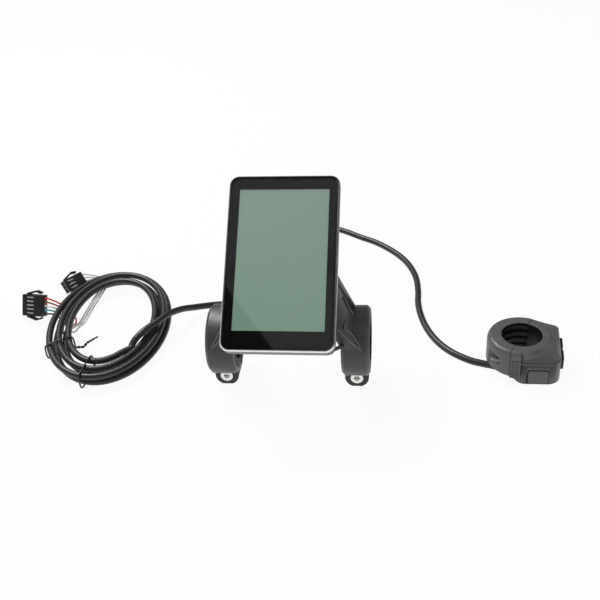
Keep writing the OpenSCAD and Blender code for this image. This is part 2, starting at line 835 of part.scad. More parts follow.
// The sleeve on the main cable's end, the wires and the plugs
sleeve_path = [coil_last, coil_last + coil_out * sleeve_l];
module cable_sleeve() {
    color(rubber_black) translate(sleeve_path[0])
        rotate([0, acos(coil_out[2]), atan2(coil_out[1], coil_out[0])])
            cylinder(d = sleeve_d, h = sleeve_l, $fn = 24);
}

module in_plug(at, lean, turn) {
    translate(at) rotate([lean, 0, turn]) children();
}
function plug_turn(p, lean, turn) = let (
    y = p[1] * cos(lean) - p[2] * sin(lean),
    z = p[1] * sin(lean) + p[2] * cos(lean))
    [p[0] * cos(turn) - y * sin(turn), p[0] * sin(turn) + y * cos(turn), z];

module plug_body(pins) {
    w = (pins - 1) * plug_pitch + 2 * plug_rim;
    difference() {
        cube([plug_l, w, plug_t], center = true);
        for (i = [0:pins - 1]) translate([0, (i - (pins - 1) / 2) * plug_pitch, 0]) {
            translate([-plug_l / 2 - over, -cavity_w / 2, -cavity_t / 2])
                cube([cavity_l + over, cavity_w, cavity_t]);
            translate([-plug_l / 2 + slot_from_end, -slot_w / 2, 0])
                cube([slot_l, slot_w, plug_t]);
        }
    }
    both_edges() translate([0, w / 2, -wing_w / 2]) linear_extrude(wing_w)
        polygon([[-plug_l / 3, 0], [-plug_l / 3 + wing_t, 0], [plug_l / 8, wing_out - wing_t],
            [plug_l / 3, wing_out - 2 * wing_t], [plug_l / 3 + wing_t / 2, wing_out - wing_t],
            [plug_l / 8, wing_out], [-plug_l / 3, wing_t]]);
}

module both_edges() {
    children();
    mirror([0, 1, 0]) children();
}

module contacts(pins) {
    for (i = [0:pins - 1])
        translate([-plug_l / 2 + cavity_l - contact_l - seat,
            (i - (pins - 1) / 2) * plug_pitch - contact_w / 2, -cavity_t / 2 + seat])
                cube([contact_l, contact_w, contact_w]);
}

sleeve_side = unit(cross(coil_out, [0, 0, 1]));
sleeve_up = cross(sleeve_side, coil_out);
function wire_start(k) = sleeve_path[1] + wire_ring_r
    * (sleeve_side * cos(360 * k / wire_count) + sleeve_up * sin(360 * k / wire_count));
under_a = [
    [[-149.3, 38, 0.4], [-151.6, 45.5, 0.1], [-154.6, 52.5, 0], [-158.6, 57, 0]],
    [[-147.6, 38.8, 0.3], [-149.9, 46.3, 0.1], [-152.7, 53.3, 0], [-157.4, 58.9, 0]],
    [[-146.1, 39.1, 0.3], [-148.1, 47.1, 0.1], [-150.8, 54.1, 0], [-156.2, 60.8, 0]],
    [[-144.6, 39.3, 0.3], [-146.4, 47.9, 0.1], [-149, 54.9, 0], [-155, 62.7, 0]],
    [[-146.1, 38.8, 2.3], [-145.9, 43.5, 1.8], [-144.3, 48.6, 0.7], [-147, 55.7, 0],
        [-153.8, 64.6, 0]]];
under_b = [
    [[-145, 39.2, 2.4], [-144.3, 44, 1.8], [-142.4, 49, 0.4], [-142.2, 56, 0.1], [-142, 73, 0],
        [-141, 92, 0], [-142.6, 97, 0]],
    [[-143.8, 39.3, 2.6], [-142.6, 44.5, 1.4], [-140.7, 50, 0.2], [-140.5, 56, 0.1],
        [-140.3, 73, 0], [-139.3, 92, 0], [-140.2, 98, 0]],
    [[-141.9, 39.4, 0.7], [-140.8, 45, 0.4], [-139, 50, 0.1], [-138.8, 56, 0.1], [-138.5, 73, 0],
        [-137.6, 92, 0], [-137.8, 99, 0]]];
turns_a = [4, 5, 6, 7, 3];
turns_b = [2, 1, 0];

wire_low = [0, 0, floor_z + wire_d / 2 + seat];
function bow(a, b, c, d, steps) =
    [for (i = [0:steps]) mix(bend(a, b, c, i / steps), bend(b, c, d, i / steps), i / steps)];
function tail(p) = [for (i = [1:len(p) - 1]) p[i]];

// A wire's route on the floor is a row of x, y and how far the wire is lifted
function wire_path(at, lean, turn, under, turns, i) = let (
    way = plug_turn([1, 0, 0], lean, turn),
    pins = len(turns),
    foot = at + plug_turn([plug_l / 2, (i - (pins - 1) / 2) * plug_pitch, 0], lean, turn),
    top = wire_start(turns[i]),
    laid = [for (p = under[i]) [p[0], p[1], p[2]] + wire_low],
    last = len(laid) - 1,
    away = unit(laid[last] - laid[last - 1]) * wire_ease)
    concat(curve(concat([top, top + coil_out * wire_d], laid), 2),
        tail(bow(laid[last], laid[last] + away, foot + way * wire_ease, foot, 5)));

module wires(at, lean, turn, under, turns) {
    way = plug_turn([1, 0, 0], lean, turn);
    for (i = [0:len(turns) - 1])
        tube(wire_path(at, lean, turn, under, turns, i), wire_d, wire_sides, coil_out, -way);
}

module plug_a() {
    color(black_plastic) in_plug(plug_a_at, plug_a_lean, plug_a_turn) plug_body(plug_a_pins);
}

module plug_a_contacts() {
    color(steel) in_plug(plug_a_at, plug_a_lean, plug_a_turn) contacts(plug_a_pins);
}

module plug_a_wires() {
    color([0.7, 0.2, 0.15]) wires(plug_a_at, plug_a_lean, plug_a_turn, under_a, turns_a);
}

module plug_b() {
    color(dark_plastic) in_plug(plug_b_at, plug_b_lean, plug_b_turn) plug_body(plug_b_pins);
}

module plug_b_contacts() {
    color(steel) in_plug(plug_b_at, plug_b_lean, plug_b_turn) contacts(plug_b_pins);
}

module plug_b_wires() {
    color([0.2, 0.5, 0.5]) wires(plug_b_at, plug_b_lean, plug_b_turn, under_b, turns_b);
}

// Remote, about its bore's axis, from the ground up
module in_remote() {
    translate([remote_x, remote_y, floor_z]) children();
}

module half_plane(gap) {
    reach = 3 * clamp_r;
    rotate([0, 0, split_turn]) translate([-reach, gap, -over])
        cube([2 * reach, reach, remote_h + 2 * over]);
}

function arc_points(x, z, rx, rz, steps) =
    [for (i = [0:steps]) [x + rx * cos(90 * i / steps), z + rz * sin(90 * i / steps)]];

module clamp_ring(r, low) {
    round_w = shoulder_in;
    rotate_extrude() polygon(concat([[0, low], [r - over, low], [r, low + over]],
        arc_points(r - round_w, remote_h - top_round, round_w, top_round, 6),
        [[0, remote_h]]));
}

module bore_with_ribs() {
    translate([0, 0, -over]) cylinder(r = bore_r, h = remote_h + 2 * over);
    for (z = [clamp_lift + rib_h:rib_h + rib_gap:remote_h - 2 * rib_h])
        translate([0, 0, z]) cylinder(r = bore_r + rib_in, h = rib_gap);
}

module at_clamp_screws() {
    for (end = [-1, 1]) rotate([0, 0, split_turn])
        translate([end * lug_reach, 0, clamp_lift + (remote_h - clamp_lift) / 2])
            rotate([90, 0, 0]) children();
}

screw_seat = 5.4;
screw_hold = 3.8;
screw_head_d = 5.4;
screw_head_t = 3;

module remote_clamp_half() {
    color(grey_plastic) in_remote() difference() {
        clamp_ring(clamp_r, clamp_lift);
        bore_with_ribs();
        mirror_half() half_plane(-half_gap / 2);
        at_clamp_screws() mirror([0, 0, 1]) {
            translate([0, 0, -over]) cylinder(d = clamp_screw_d + 2 * fit, h = clamp_r);
            translate([0, 0, screw_seat]) cylinder(d = screw_head_d + 6 * fit, h = clamp_r);
        }
    }
}

module mirror_half() {
    rotate([0, 0, split_turn]) mirror([0, 1, 0]) rotate([0, 0, -split_turn]) children();
}

module wedge(from, to, r, low, high) {
    steps = 6;
    translate([0, 0, low]) linear_extrude(high - low) polygon(concat([[0, 0]],
        [for (i = [0:steps]) let (a = mix(from, to, i / steps)) [r * cos(a), r * sin(a)]]));
}

module remote_bushing() {
    color(grey_plastic) in_remote() difference() {
        union() {
            translate([0, 0, clamp_lift])
                cylinder(r = bushing_r, h = remote_h - clamp_lift - fit);
            translate([0, 0, remote_h - flange_t])
                cylinder(r = flange_r, h = flange_t);
            intersection() {
                clamp_ring(clamp_r, clamp_lift);
                wedge(180 + split_turn, block_end, 3 * clamp_r, 0, remote_h + over);
            }
            intersection() {
                cylinder(r = clamp_r - pod_wall / 2, h = remote_h - flange_t - pod_edge);
                wedge(lug_end, split_turn, 3 * clamp_r, clamp_lift, remote_h);
            }
        }
        translate([0, 0, -over]) cylinder(r = bore_r, h = remote_h + 2 * over);
        half_plane(-half_gap / 2);
        at_clamp_screws() translate([0, 0, -over])
            cylinder(d = clamp_screw_d + 2 * seat, h = screw_hold + fit + over);
    }
}

// The housing's outline runs round four circles, given as x, y and radius
pod_circles = [[pod_left_x, pod_left_y, pod_left_r],
    [pod_right - pod_corner, pod_corner - pod_front, pod_corner],
    [pod_back_x, pod_back_y, pod_back_r], [pod_bulge_x, pod_bulge_y, pod_bulge_r]];
function facing(a, b) = atan2(b[1] - a[1], b[0] - a[0])
    - acos((a[2] - b[2]) / norm([b[0] - a[0], b[1] - a[1]]));
function pod_points(inset) = [for (i = [0:3]) let (
    c = pod_circles[i],
    from = facing(pod_circles[(i + 3) % 4], c),
    to = facing(c, pod_circles[(i + 1) % 4]),
    sweep = (to - from + 720) % 360)
    for (k = [0:pod_steps]) let (a = from + sweep * k / pod_steps)
        [c[0] + (c[2] - inset) * cos(a), c[1] + (c[2] - inset) * sin(a)]];
function turned(p) = [for (i = [len(p) - 1:-1:0]) p[i]];
function pod_ring(inset, z) = [for (p = turned(pod_points(inset))) [p[0], p[1], z]];
function top_ring(r, z, share) = [for (p = turned(pod_points(pod_edge)))
    let (q = mix(p, p * r / norm(p), share)) [q[0], q[1], z]];

module pod_layer(inset, low, high) {
    translate([0, 0, low]) linear_extrude(high - low) polygon(pod_points(inset));
}

module pod_solid() {
    groove_top = belt_h + groove_h;
    brow = groove_top + pod_edge;
    skin([pod_ring(pod_edge, 0), pod_ring(0, pod_edge), pod_ring(0, belt_h - pod_edge / 2),
        pod_ring(pod_edge / 2, belt_h), pod_ring(groove_in, belt_h),
        pod_ring(groove_in, groove_top), pod_ring(pod_edge / 4, groove_top),
        pod_ring(pod_edge, brow),
        top_ring(flange_r + pod_edge, mix(brow, remote_h, crown_share), crown_round_share),
        top_ring(flange_r + pod_edge, remote_h, 1)]);
}

module side_frame(y) {
    rotate([0, 0, -pod_lean]) translate([side_x, side_y + y, cap_z]) rotate([0, 90, 0])
        rotate([0, 0, 90]) children();
}

module front_frame() {
    translate([mode_x, -pod_front, mode_z]) rotate([90, 0, 0]) children();
}

module remote_housing() {
    $fn = 32;
    color(grey_plastic) in_remote() difference() {
        union() {
            difference() {
                pod_solid();
                pod_layer(pod_wall, -over, pod_ceiling);
            }
            for (p = boss_places) translate([p[0], p[1], base_t + seat])
                cylinder(d = boss_d, h = pod_ceiling - base_t);
        }
        translate([0, 0, -over]) cylinder(r = bushing_r + fit, h = remote_h + 2 * over);
        translate([0, 0, remote_h - flange_t - fit]) cylinder(r = flange_r + fit, h = remote_h);
        wedge(split_turn, 180 + split_turn, 3 * clamp_r, -over, remote_h + over);
        wedge(170 + split_turn, block_end, 3 * clamp_r, clamp_lift - fit, remote_h + over);
        intersection() {
            cylinder(r = clamp_r - pod_wall / 2 + fit, h = remote_h - flange_t);
            wedge(lug_end - 1, split_turn + 1, 3 * clamp_r, -over, remote_h);
        }
        for (y = [-cap_spacing / 2, cap_spacing / 2]) side_frame(y)
            slab_at(cap_w + 2 * cap_play, cap_h + 2 * cap_play, cap_round, -2 * pod_wall, pod_wall);
        front_frame() slab_at(mode_w + 2 * cap_play, mode_h + 2 * cap_play, cap_round,
            -2 * pod_wall, pod_wall);
        for (p = boss_places) translate([p[0], p[1], 0])
            cylinder(d = base_screw_d - 2 * fit, h = base_t + base_screw_l);
        at_boot() translate([0, 0, -fit]) linear_extrude(boot_l) boot_end_shape(fit);
    }
}

module at_boot() {
    translate([pod_left_x, pod_left_y, boot_z] - boot_way * boot_start)
        rotate([0, -90, -boot_turn]) children();
}

module boot_end_shape(more) {
    rounded(boot_h + 2 * more, boot_w + 2 * more, boot_h / 2);
}

module remote_base() {
    color(dark_plastic) in_remote() difference() {
        pod_layer(pod_wall + fit, fit, base_t);
        translate([0, 0, -over]) cylinder(r = bore_r + fit, h = remote_h);
        wedge(split_turn, 180 + split_turn, 3 * clamp_r, -over, remote_h + over);
        front_frame() slab_at(mode_w + 2 * flange_lip + 2 * cap_play,
            mode_h + 2 * flange_lip + 2 * cap_play, cap_round, -switch_back - seat, pod_wall);
        for (p = boss_places) translate([p[0], p[1], -over]) {
            cylinder(d = base_screw_d + 2 * fit, h = remote_h);
            cylinder(d = base_head_d + 2 * fit, h = base_head_t + over);
        }
    }
}

module remote_base_screws() {
    color(steel) in_remote() for (p = boss_places)
        translate([p[0], p[1], base_head_t - seat]) mirror([0, 0, 1])
            pan_screw(base_screw_d - 2 * fit - 2 * seat, base_head_d, base_head_t - 2 * fit,
                base_screw_l);
}

module remote_clamp_screws() {
    color(steel) in_remote() at_clamp_screws() mirror([0, 0, 1])
        translate([0, 0, screw_seat + seat])
            pan_screw(clamp_screw_d, screw_head_d, screw_head_t, screw_seat + screw_hold);
}

module remote_boot() {
    color(rubber_black) in_remote() at_boot() hull() {
        linear_extrude(pod_wall) boot_end_shape(0);
        translate([0, 0, boot_l - fit]) cylinder(d = cord_d + fit, h = fit);
    }
}

module remote_board() {
    color([0.1, 0.35, 0.2]) in_remote() {
        rotate([0, 0, -pod_lean]) translate([side_x - switch_back - tact_t - plunger_t
            - remote_board_t, side_y - remote_board_w / 2, remote_board_z])
                cube([remote_board_t, remote_board_w, remote_board_h]);
        translate([mode_board_x, -pod_front + switch_back + plunger_t + tact_t, remote_board_z])
            cube([mode_board_w, remote_board_t, mode_board_h]);
    }
}

module tact() {
    translate([0, 0, -switch_back - plunger_t - seat]) {
        cylinder(d = plunger_d, h = plunger_t);
        slab_at(tact_w, tact_w, fit, seat - tact_t, 0);
    }
}

module remote_switches() {
    color(black_plastic) in_remote() {
        for (y = [-cap_spacing / 2, cap_spacing / 2]) side_frame(y) tact();
        front_frame() translate([mode_board_x + mode_board_w / 2 - mode_x, 0, 0]) tact();
    }
}

module cap(w, h, proud) {
    back = pod_wall + cap_play;
    slab_at(w, h, cap_round, -back - fit, proud);
    slab_at(w + 2 * flange_lip, h + 2 * flange_lip, cap_round, -back - flange_plate, -back);
}

module slab_at(w, l, r, low, high) {
    translate([0, 0, low]) linear_extrude(high - low) rounded(w, l, r);
}

module up_button() {
    color(rubber_black) in_remote() side_frame(cap_spacing / 2) cap(cap_w, cap_h, cap_proud);
}

module down_button() {
    color(rubber_black) in_remote() side_frame(-cap_spacing / 2) cap(cap_w, cap_h, cap_proud);
}

module mode_button() {
    color(grey_plastic) in_remote() front_frame() cap(mode_w, mode_h, mode_proud);
}

cover_glass();
mask_film();
metal_frame();
lcd_panel();
light_guide();
circuit_board();
board_components();
gasket();
rear_housing();
housing_screws();
left_arm();
right_arm();
arm_screws();
left_reducer();
right_reducer();
pinch_screws();
pinch_nuts();
main_gland();
remote_gland();
remote_cable();
main_cable();
main_cable_coil();
cable_sleeve();
left_tie();
front_tie();
plug_a();
plug_a_contacts();
plug_a_wires();
plug_b();
plug_b_contacts();
plug_b_wires();
remote_clamp_half();
remote_bushing();
remote_housing();
remote_base();
remote_board();
remote_switches();
up_button();
down_button();
mode_button();
remote_clamp_screws();
remote_base_screws();
remote_boot();
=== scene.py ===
import math

import bmesh
import bpy
from mathutils import Matrix, Vector


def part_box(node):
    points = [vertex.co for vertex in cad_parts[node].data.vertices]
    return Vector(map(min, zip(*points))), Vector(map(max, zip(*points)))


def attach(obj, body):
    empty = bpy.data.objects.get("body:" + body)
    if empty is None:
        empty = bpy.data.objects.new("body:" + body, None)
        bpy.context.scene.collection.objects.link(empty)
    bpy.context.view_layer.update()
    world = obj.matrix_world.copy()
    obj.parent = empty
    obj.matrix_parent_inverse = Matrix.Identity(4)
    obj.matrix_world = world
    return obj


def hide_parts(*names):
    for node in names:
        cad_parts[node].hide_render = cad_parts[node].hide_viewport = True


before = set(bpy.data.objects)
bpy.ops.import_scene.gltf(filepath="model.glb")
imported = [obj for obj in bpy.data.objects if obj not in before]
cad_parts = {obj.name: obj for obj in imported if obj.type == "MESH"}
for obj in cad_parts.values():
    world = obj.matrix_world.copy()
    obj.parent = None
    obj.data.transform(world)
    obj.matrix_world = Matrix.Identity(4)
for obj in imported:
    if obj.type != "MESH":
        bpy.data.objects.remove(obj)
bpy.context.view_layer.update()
mm = 0.001
tableHeight = -26.3  # mm, the ground that the part lies on
print("frame loaded:", len(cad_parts), "nodes")


def linkedObject(name, data):
    holder = bpy.data.objects.new(name, data)
    bpy.context.scene.collection.objects.link(holder)
    return holder


# Camera, fitted to the photograph
cameraSizes = {
    "target": (6.9, 0, 25.9),  # mm
    "distance": 474,  # mm
    "azimuth": 8.5,  # degrees
    "elevation": 33,
    "roll": -4.2,
    "focalPixels": 887.7,
    "imagePixels": 600,
    "sensor": 36,
    "clip": (0.01, 30),  # m
}


def makeCamera(sizes):
    azimuth, elevation, roll = (math.radians(sizes[key])
                                for key in ("azimuth", "elevation", "roll"))
    back = Vector((math.sin(azimuth) * math.cos(elevation),
                   -math.cos(azimuth) * math.cos(elevation), math.sin(elevation)))
    level = Vector((math.cos(azimuth), math.sin(azimuth), 0))
    upright = back.cross(level)
    right = level * math.cos(roll) + upright * math.sin(roll)
    up = upright * math.cos(roll) - level * math.sin(roll)
    turn = Matrix((right, up, back)).transposed().to_4x4()
    place = (Vector(sizes["target"]) + back * sizes["distance"]) * mm
    camera = linkedObject("photoCamera", bpy.data.cameras.new("photoCamera"))
    camera.data.sensor_width = sizes["sensor"]
    camera.data.lens = sizes["sensor"] * sizes["focalPixels"] / sizes["imagePixels"]
    camera.data.clip_start, camera.data.clip_end = sizes["clip"]
    camera.matrix_world = Matrix.Translation(place) @ turn
    bpy.context.scene.camera = camera


makeCamera(cameraSizes)
print("camera made")


# An input given another node's socket is linked, any other is set
def setInputs(tree, node, inputs):
    for key, value in inputs.items():
        if isinstance(value, bpy.types.NodeSocket):
            tree.links.new(value, node.inputs[key])
        else:
            node.inputs[key].default_value = value


def addNode(tree, kind, inputs=None, **settings):
    node = tree.nodes.new(kind)
    for title, value in settings.items():
        setattr(node, title, value)
    setInputs(tree, node, inputs or {})
    return node


def sums(tree, operation, a, b=0.0):
    return addNode(tree, "ShaderNodeMath", {0: a, 1: b}, operation=operation).outputs[0]


def mixed(tree, share, first, second):
    return addNode(tree, "ShaderNodeMixShader", {"Fac": share, 1: first, 2: second}).outputs[0]


def newMaterial(name, colour, roughness, metallic=0.0, specular=0.5):
    material = bpy.data.materials.new(name)
    material.use_nodes = True
    tree = material.node_tree
    shader = tree.nodes["Principled BSDF"]
    setInputs(tree, shader, {"Base Color": (*colour, 1), "Roughness": roughness,
                             "Metallic": metallic, "Specular IOR Level": specular})
    return material, tree, shader


def patternCoords(tree, stretch=(1, 1, 1), output="Object"):
    coords = addNode(tree, "ShaderNodeTexCoord").outputs[output]
    return addNode(tree, "ShaderNodeMapping", {
        "Vector": coords, "Scale": stretch}).outputs["Vector"]


def noisePattern(tree, vector, scale, detail=4):
    return addNode(tree, "ShaderNodeTexNoise", {
        "Vector": vector, "Scale": scale, "Detail": detail, "Roughness": 0.55}).outputs["Fac"]


def rampColour(tree, factor, low, high):
    ramp = addNode(tree, "ShaderNodeValToRGB", {"Fac": factor})
    for stop, (place, colour) in zip(ramp.color_ramp.elements, (low, high)):
        stop.position = place
        stop.color = (*colour, 1)
    return ramp.outputs["Color"]


def mapValue(tree, factor, low, high, fromLow=0.3, fromHigh=0.7):
    return addNode(tree, "ShaderNodeMapRange", {
        "Value": factor, "From Min": fromLow, "From Max": fromHigh,
        "To Min": low, "To Max": high}).outputs["Result"]


def addBump(tree, shader, height, strength, distance):
    bump = addNode(tree, "ShaderNodeBump", {
        "Height": height, "Strength": strength, "Distance": distance})
    setInputs(tree, shader, {"Normal": bump.outputs["Normal"]})


# Mottle: a colour that wanders a little to both sides of itself
def mottled(tree, shader, pattern, colour, spread):
    dark, light = (tuple(min(c * share, 0.95) for c in colour)
                   for share in (1 - spread, 1 + spread))
    setInputs(tree, shader, {"Base Color": rampColour(tree, pattern, (0.3, dark), (0.7, light))})


def uneven(tree, shader, pattern, low, high):
    setInputs(tree, shader, {"Roughness": mapValue(tree, pattern, low, high)})


# Moulded plastic and rubber: fine spark-eroded grain over a faint mottle
def mouldedPlastic(name, colour, roughness, grain=1500, depth=0.06, specular=0.5):
    material, tree, shader = newMaterial(name, colour, roughness, specular=specular)
    vector = patternCoords(tree)
    mottled(tree, shader, noisePattern(tree, vector, 45), colour, 0.09)
    uneven(tree, shader, noisePattern(tree, vector, 160), roughness - 0.06, roughness + 0.06)
    addBump(tree, shader, noisePattern(tree, vector, grain, 2), depth * 6, 0.00012)
    return material


# Cable jacket: extruded, so its faint streaks run along the cord
def cableJacket(name, colour, roughness, streak=0.12, bump=0.22):
    material, tree, shader = newMaterial(name, colour, roughness)
    along = patternCoords(tree, (6, 26, 1), "UV")
    mottled(tree, shader, noisePattern(tree, along, 1.0), colour, streak)
    uneven(tree, shader, noisePattern(tree, along, 2.3), roughness - 0.05, roughness + 0.07)
    addBump(tree, shader, noisePattern(tree, patternCoords(tree), 900, 2), bump, 0.0001)
    return material


# Metals: fine turned or brushed marks
def markedMetal(name, colour, roughness, scale, depth, metallic=1.0):
    material, tree, shader = newMaterial(name, colour, roughness, metallic)
    marks = noisePattern(tree, patternCoords(tree), scale, 3)
    mottled(tree, shader, marks, colour, 0.08)
    uneven(tree, shader, marks, roughness - 0.05, roughness + 0.08)
    addBump(tree, shader, marks, depth, 0.00005)
    return material


# The clear cover: thin, so the film and panel under it show through
def clearGlass():
    material, tree, shader = newMaterial("coverGlassClear", (0.02, 0.021, 0.022), 0.02)
    setInputs(tree, shader, {"Alpha": 0.05, "Coat Weight": 0.6, "Coat Roughness": 0.02})
    addBump(tree, shader, noisePattern(tree, patternCoords(tree), 18, 1), 0.004, 0.0005)
    return material


def glossyFilm(name, colour, roughness):
    material, tree, shader = newMaterial(name, colour, roughness)
    vector = patternCoords(tree)
    mottled(tree, shader, noisePattern(tree, vector, 60), colour, 0.15)
    uneven(tree, shader, noisePattern(tree, vector, 220), roughness, roughness + 0.02)
    return material


# Unlit liquid crystal: grey-green and a little deeper towards its low end, with a pixel grid; the
# lighter high end is a painted reflection
def displayPanel(name, low, high, centre, reach):
    material, tree, shader = newMaterial(name, high, 0.03, specular=1.0)
    place = addNode(tree, "ShaderNodeTexCoord").outputs["Object"]
    height = addNode(tree, "ShaderNodeSeparateXYZ", {"Vector": place}).outputs["Z"]
    # The climb from the low to the high colour is the painted reflection
    climb = mapValue(tree, height, 0, 1, centre - reach, centre + reach)
    grid = addNode(tree, "ShaderNodeTexVoronoi", {
        "Vector": place, "Scale": 1600, "Randomness": 0.0})
    mix = addNode(tree, "ShaderNodeMix", {
        "Factor": 0.05, "A": rampColour(tree, climb, (0, low), (1, high)),
        "B": grid.outputs["Distance"]}, data_type="RGBA", blend_type="MULTIPLY")
    setInputs(tree, shader, {"Base Color": mix.outputs["Result"]})
    return material


# Printed board: solder mask over a faint net of tracks
def printedBoard():
    green, track = (0.012, 0.10, 0.045), (0.03, 0.19, 0.08)
    material, tree, shader = newMaterial("printedBoard", green, 0.35)
    edge = addNode(tree, "ShaderNodeTexVoronoi", {"Vector": patternCoords(tree), "Scale": 260},
                   feature="DISTANCE_TO_EDGE").outputs["Distance"]
    setInputs(tree, shader, {"Base Color": rampColour(tree, edge, (0.04, track), (0.09, green))})
    addBump(tree, shader, edge, 0.2, 0.00005)
    return material


# Colour and roughness, then where they differ the grain's scale and depth, and the gloss
plastics = {
    "whiteGuide": ((0.8, 0.82, 0.8), 0.4),
    "blackEpoxy": ((0.014, 0.014, 0.015), 0.45, 700, 0.04),
    "housingPlastic": ((0.018, 0.018, 0.019), 0.5),
    "armPlastic": ((0.034, 0.034, 0.035), 0.42),
    "remotePlastic": ((0.066, 0.066, 0.067), 0.40),
    "baseplatePlastic": ((0.03, 0.03, 0.032), 0.5),
    "blackRubber": ((0.016, 0.016, 0.0165), 0.62, 1100, 0.09, 0.35),
    "tieCoat": ((0.010, 0.010, 0.0105), 0.38, 900, 0.03),
    # A lighter plastic for the arms' ribs: painted highlight
    "paintedHighlightPlastic": ((0.085, 0.085, 0.086), 0.34),
    # A darker copy of the arm plastic for the screw ears: painted shade
    "paintedShadePlastic": ((0.009, 0.009, 0.0095), 0.5),
    "plugNylon": ((0.012, 0.012, 0.0125), 0.42, 1300, 0.04),
    # Painted shade for the inside of the screws' hexagon sockets
    "socketPaintedShade": ((0.020, 0.018, 0.015), 0.6),
    # Painted shade for the faces round the remote's bore
    "borePaintedShade": ((0.0040, 0.0040, 0.0042), 0.45, 900, 0.04, 0.22),
}
# Colour, roughness, the marks' scale and depth, and how metallic where not wholly
metals = {
    "polishedRim": ((0.84, 0.85, 0.86), 0.14, 500, 0.04),
    "satinRim": ((0.19, 0.193, 0.196), 0.36, 900, 0.1),
    "chromePlate": ((0.78, 0.77, 0.75), 0.24, 900, 0.05),
    "darkSteel": ((0.16, 0.16, 0.165), 0.34, 900, 0.05),
    "tinnedContact": ((0.74, 0.74, 0.72), 0.4, 1100, 0.06, 0.25),
}
wireColours = {
    "wireRed": (0.62, 0.03, 0.02), "wireBrown": (0.30, 0.10, 0.05),
    "wireWhite": (0.72, 0.72, 0.70), "wireTeal": (0.05, 0.42, 0.46),
    "wireBlack": (0.02, 0.02, 0.021), "wireIvory": (0.60, 0.59, 0.56),
    "wirePearl": (0.62, 0.62, 0.62), "wirePlain": (0.57, 0.58, 0.59),
}
finishes = {
    "coverGlass": clearGlass(),
    "blackBorder": glossyFilm("blackBorderFilm", (0.0020, 0.0020, 0.0021), 0.02),
    "display": displayPanel("displayPanel", (0.160, 0.260, 0.199), (0.195, 0.294, 0.232),
                            0.059, 0.03),
    "board": printedBoard(),
    "jacket": cableJacket("cableJacket", (0.0135, 0.0135, 0.014), 0.42),
}
for finishName, settings in plastics.items():
    finishes[finishName] = mouldedPlastic(finishName, *settings)
for finishName, settings in metals.items():
    finishes[finishName] = markedMetal(finishName, *settings)
for wireName, wireColour in wireColours.items():
    finishes[wireName] = cableJacket(wireName + "Jacket", wireColour, 0.32, 0.05, 0.03)
print("materials made:", len(finishes))


# Studio: white air and floor, soft lamps, and one pale card that the screen mirrors
studioSizes = {
    "floorReach": 8,  # m
    "floorGap": 0.05,  # mm under the part
    "floorGlow": 0.93,  # share of the floor's own white over its lit look
    "farFloorInGloss": 0.10,
    "glossFade": (0.22, 0.65),  # m from the part
    "airOnSurfaces": 0.42,
    "airInGloss": 0.10,
    "overheadInGloss": 0.035,
    "overheadFrom": (0.45, 0.8),  # upward share of the ray
    # Place, aim and size in metres, power in watts, and whether gloss mirrors the lamp
    "lamps": {
        "keyLamp": ((-0.55, 0.45, 0.95), (0, 0, 0), (0.7, 0.5), 16, True),
        "frontLamp": ((-0.2, -0.95, 0.4), (0, 0, 0), (0.5, 0.5), 5, False),
        "sideLamp": ((0.95, 0.1, 0.30), (0.08, 0, 0), (0.4, 0.4), 4, False),
    },
    "cardGlow": 0.6,
    # Corners in metres: the slanting edge crosses the screen's low left corner
    "card": [(-0.262, -0.346, 0.9), (-0.116, -0.585, 0.9), (0.45, -0.60, 0.9), (0.45, 0.05, 0.9),
             (-0.262, 0.05, 0.9)],
}


def makeWorld(sizes):
    world = bpy.data.worlds.new("studioAir")
    bpy.context.scene.world = world
    world.use_nodes = True
    tree = world.node_tree
    tree.nodes.clear()

    def air(strength):
        return addNode(tree, "ShaderNodeBackground", {
            "Color": (1, 1, 1, 1), "Strength": strength}).outputs[0]

    rays = addNode(tree, "ShaderNodeLightPath").outputs
    way = addNode(tree, "ShaderNodeTexCoord").outputs["Generated"]
    height = addNode(tree, "ShaderNodeSeparateXYZ", {"Vector": way}).outputs["Z"]
    fade = mapValue(tree, height, sizes["airInGloss"], sizes["overheadInGloss"],
                    *sizes["overheadFrom"])
    unseen = mixed(tree, rays["Is Glossy Ray"], air(sizes["airOnSurfaces"]), air(fade))
    seen = sums(tree, "MAXIMUM", rays["Is Camera Ray"], rays["Is Transmission Ray"])
    addNode(tree, "ShaderNodeOutputWorld", {"Surface": mixed(tree, seen, unseen, air(1.0))})


def stagePlane(name, corners, material):
    mesh = bpy.data.meshes.new(name)
    mesh.from_pydata([tuple(c) for c in corners], [], [tuple(range(len(corners)))])
    mesh.materials.append(material)
    linkedObject(name, mesh)


# The floor shows white to the camera, and in gloss near the part; it still keeps its shadow
def floorMaterial(sizes):
    material, tree, shader = newMaterial("paleFloor", (0.6, 0.6, 0.6), 0.9)
    rays = addNode(tree, "ShaderNodeLightPath").outputs
    place = addNode(tree, "ShaderNodeTexCoord").outputs["Object"]
    away = addNode(tree, "ShaderNodeVectorMath", {0: place}, operation="LENGTH").outputs["Value"]
    fade = mapValue(tree, away, 1.0, sizes["farFloorInGloss"], *sizes["glossFade"])
    seen = sums(tree, "MAXIMUM", rays["Is Camera Ray"], rays["Is Transmission Ray"])
    glow = addNode(tree, "ShaderNodeEmission", {"Strength": sums(tree, "MAXIMUM", seen, fade)})
    share = sums(tree, "MULTIPLY", sums(tree, "MAXIMUM", seen, rays["Is Glossy Ray"]),
                 sizes["floorGlow"])
    setInputs(tree, tree.nodes["Material Output"], {
        "Surface": mixed(tree, share, shader.outputs[0], glow.outputs[0])})
    return material


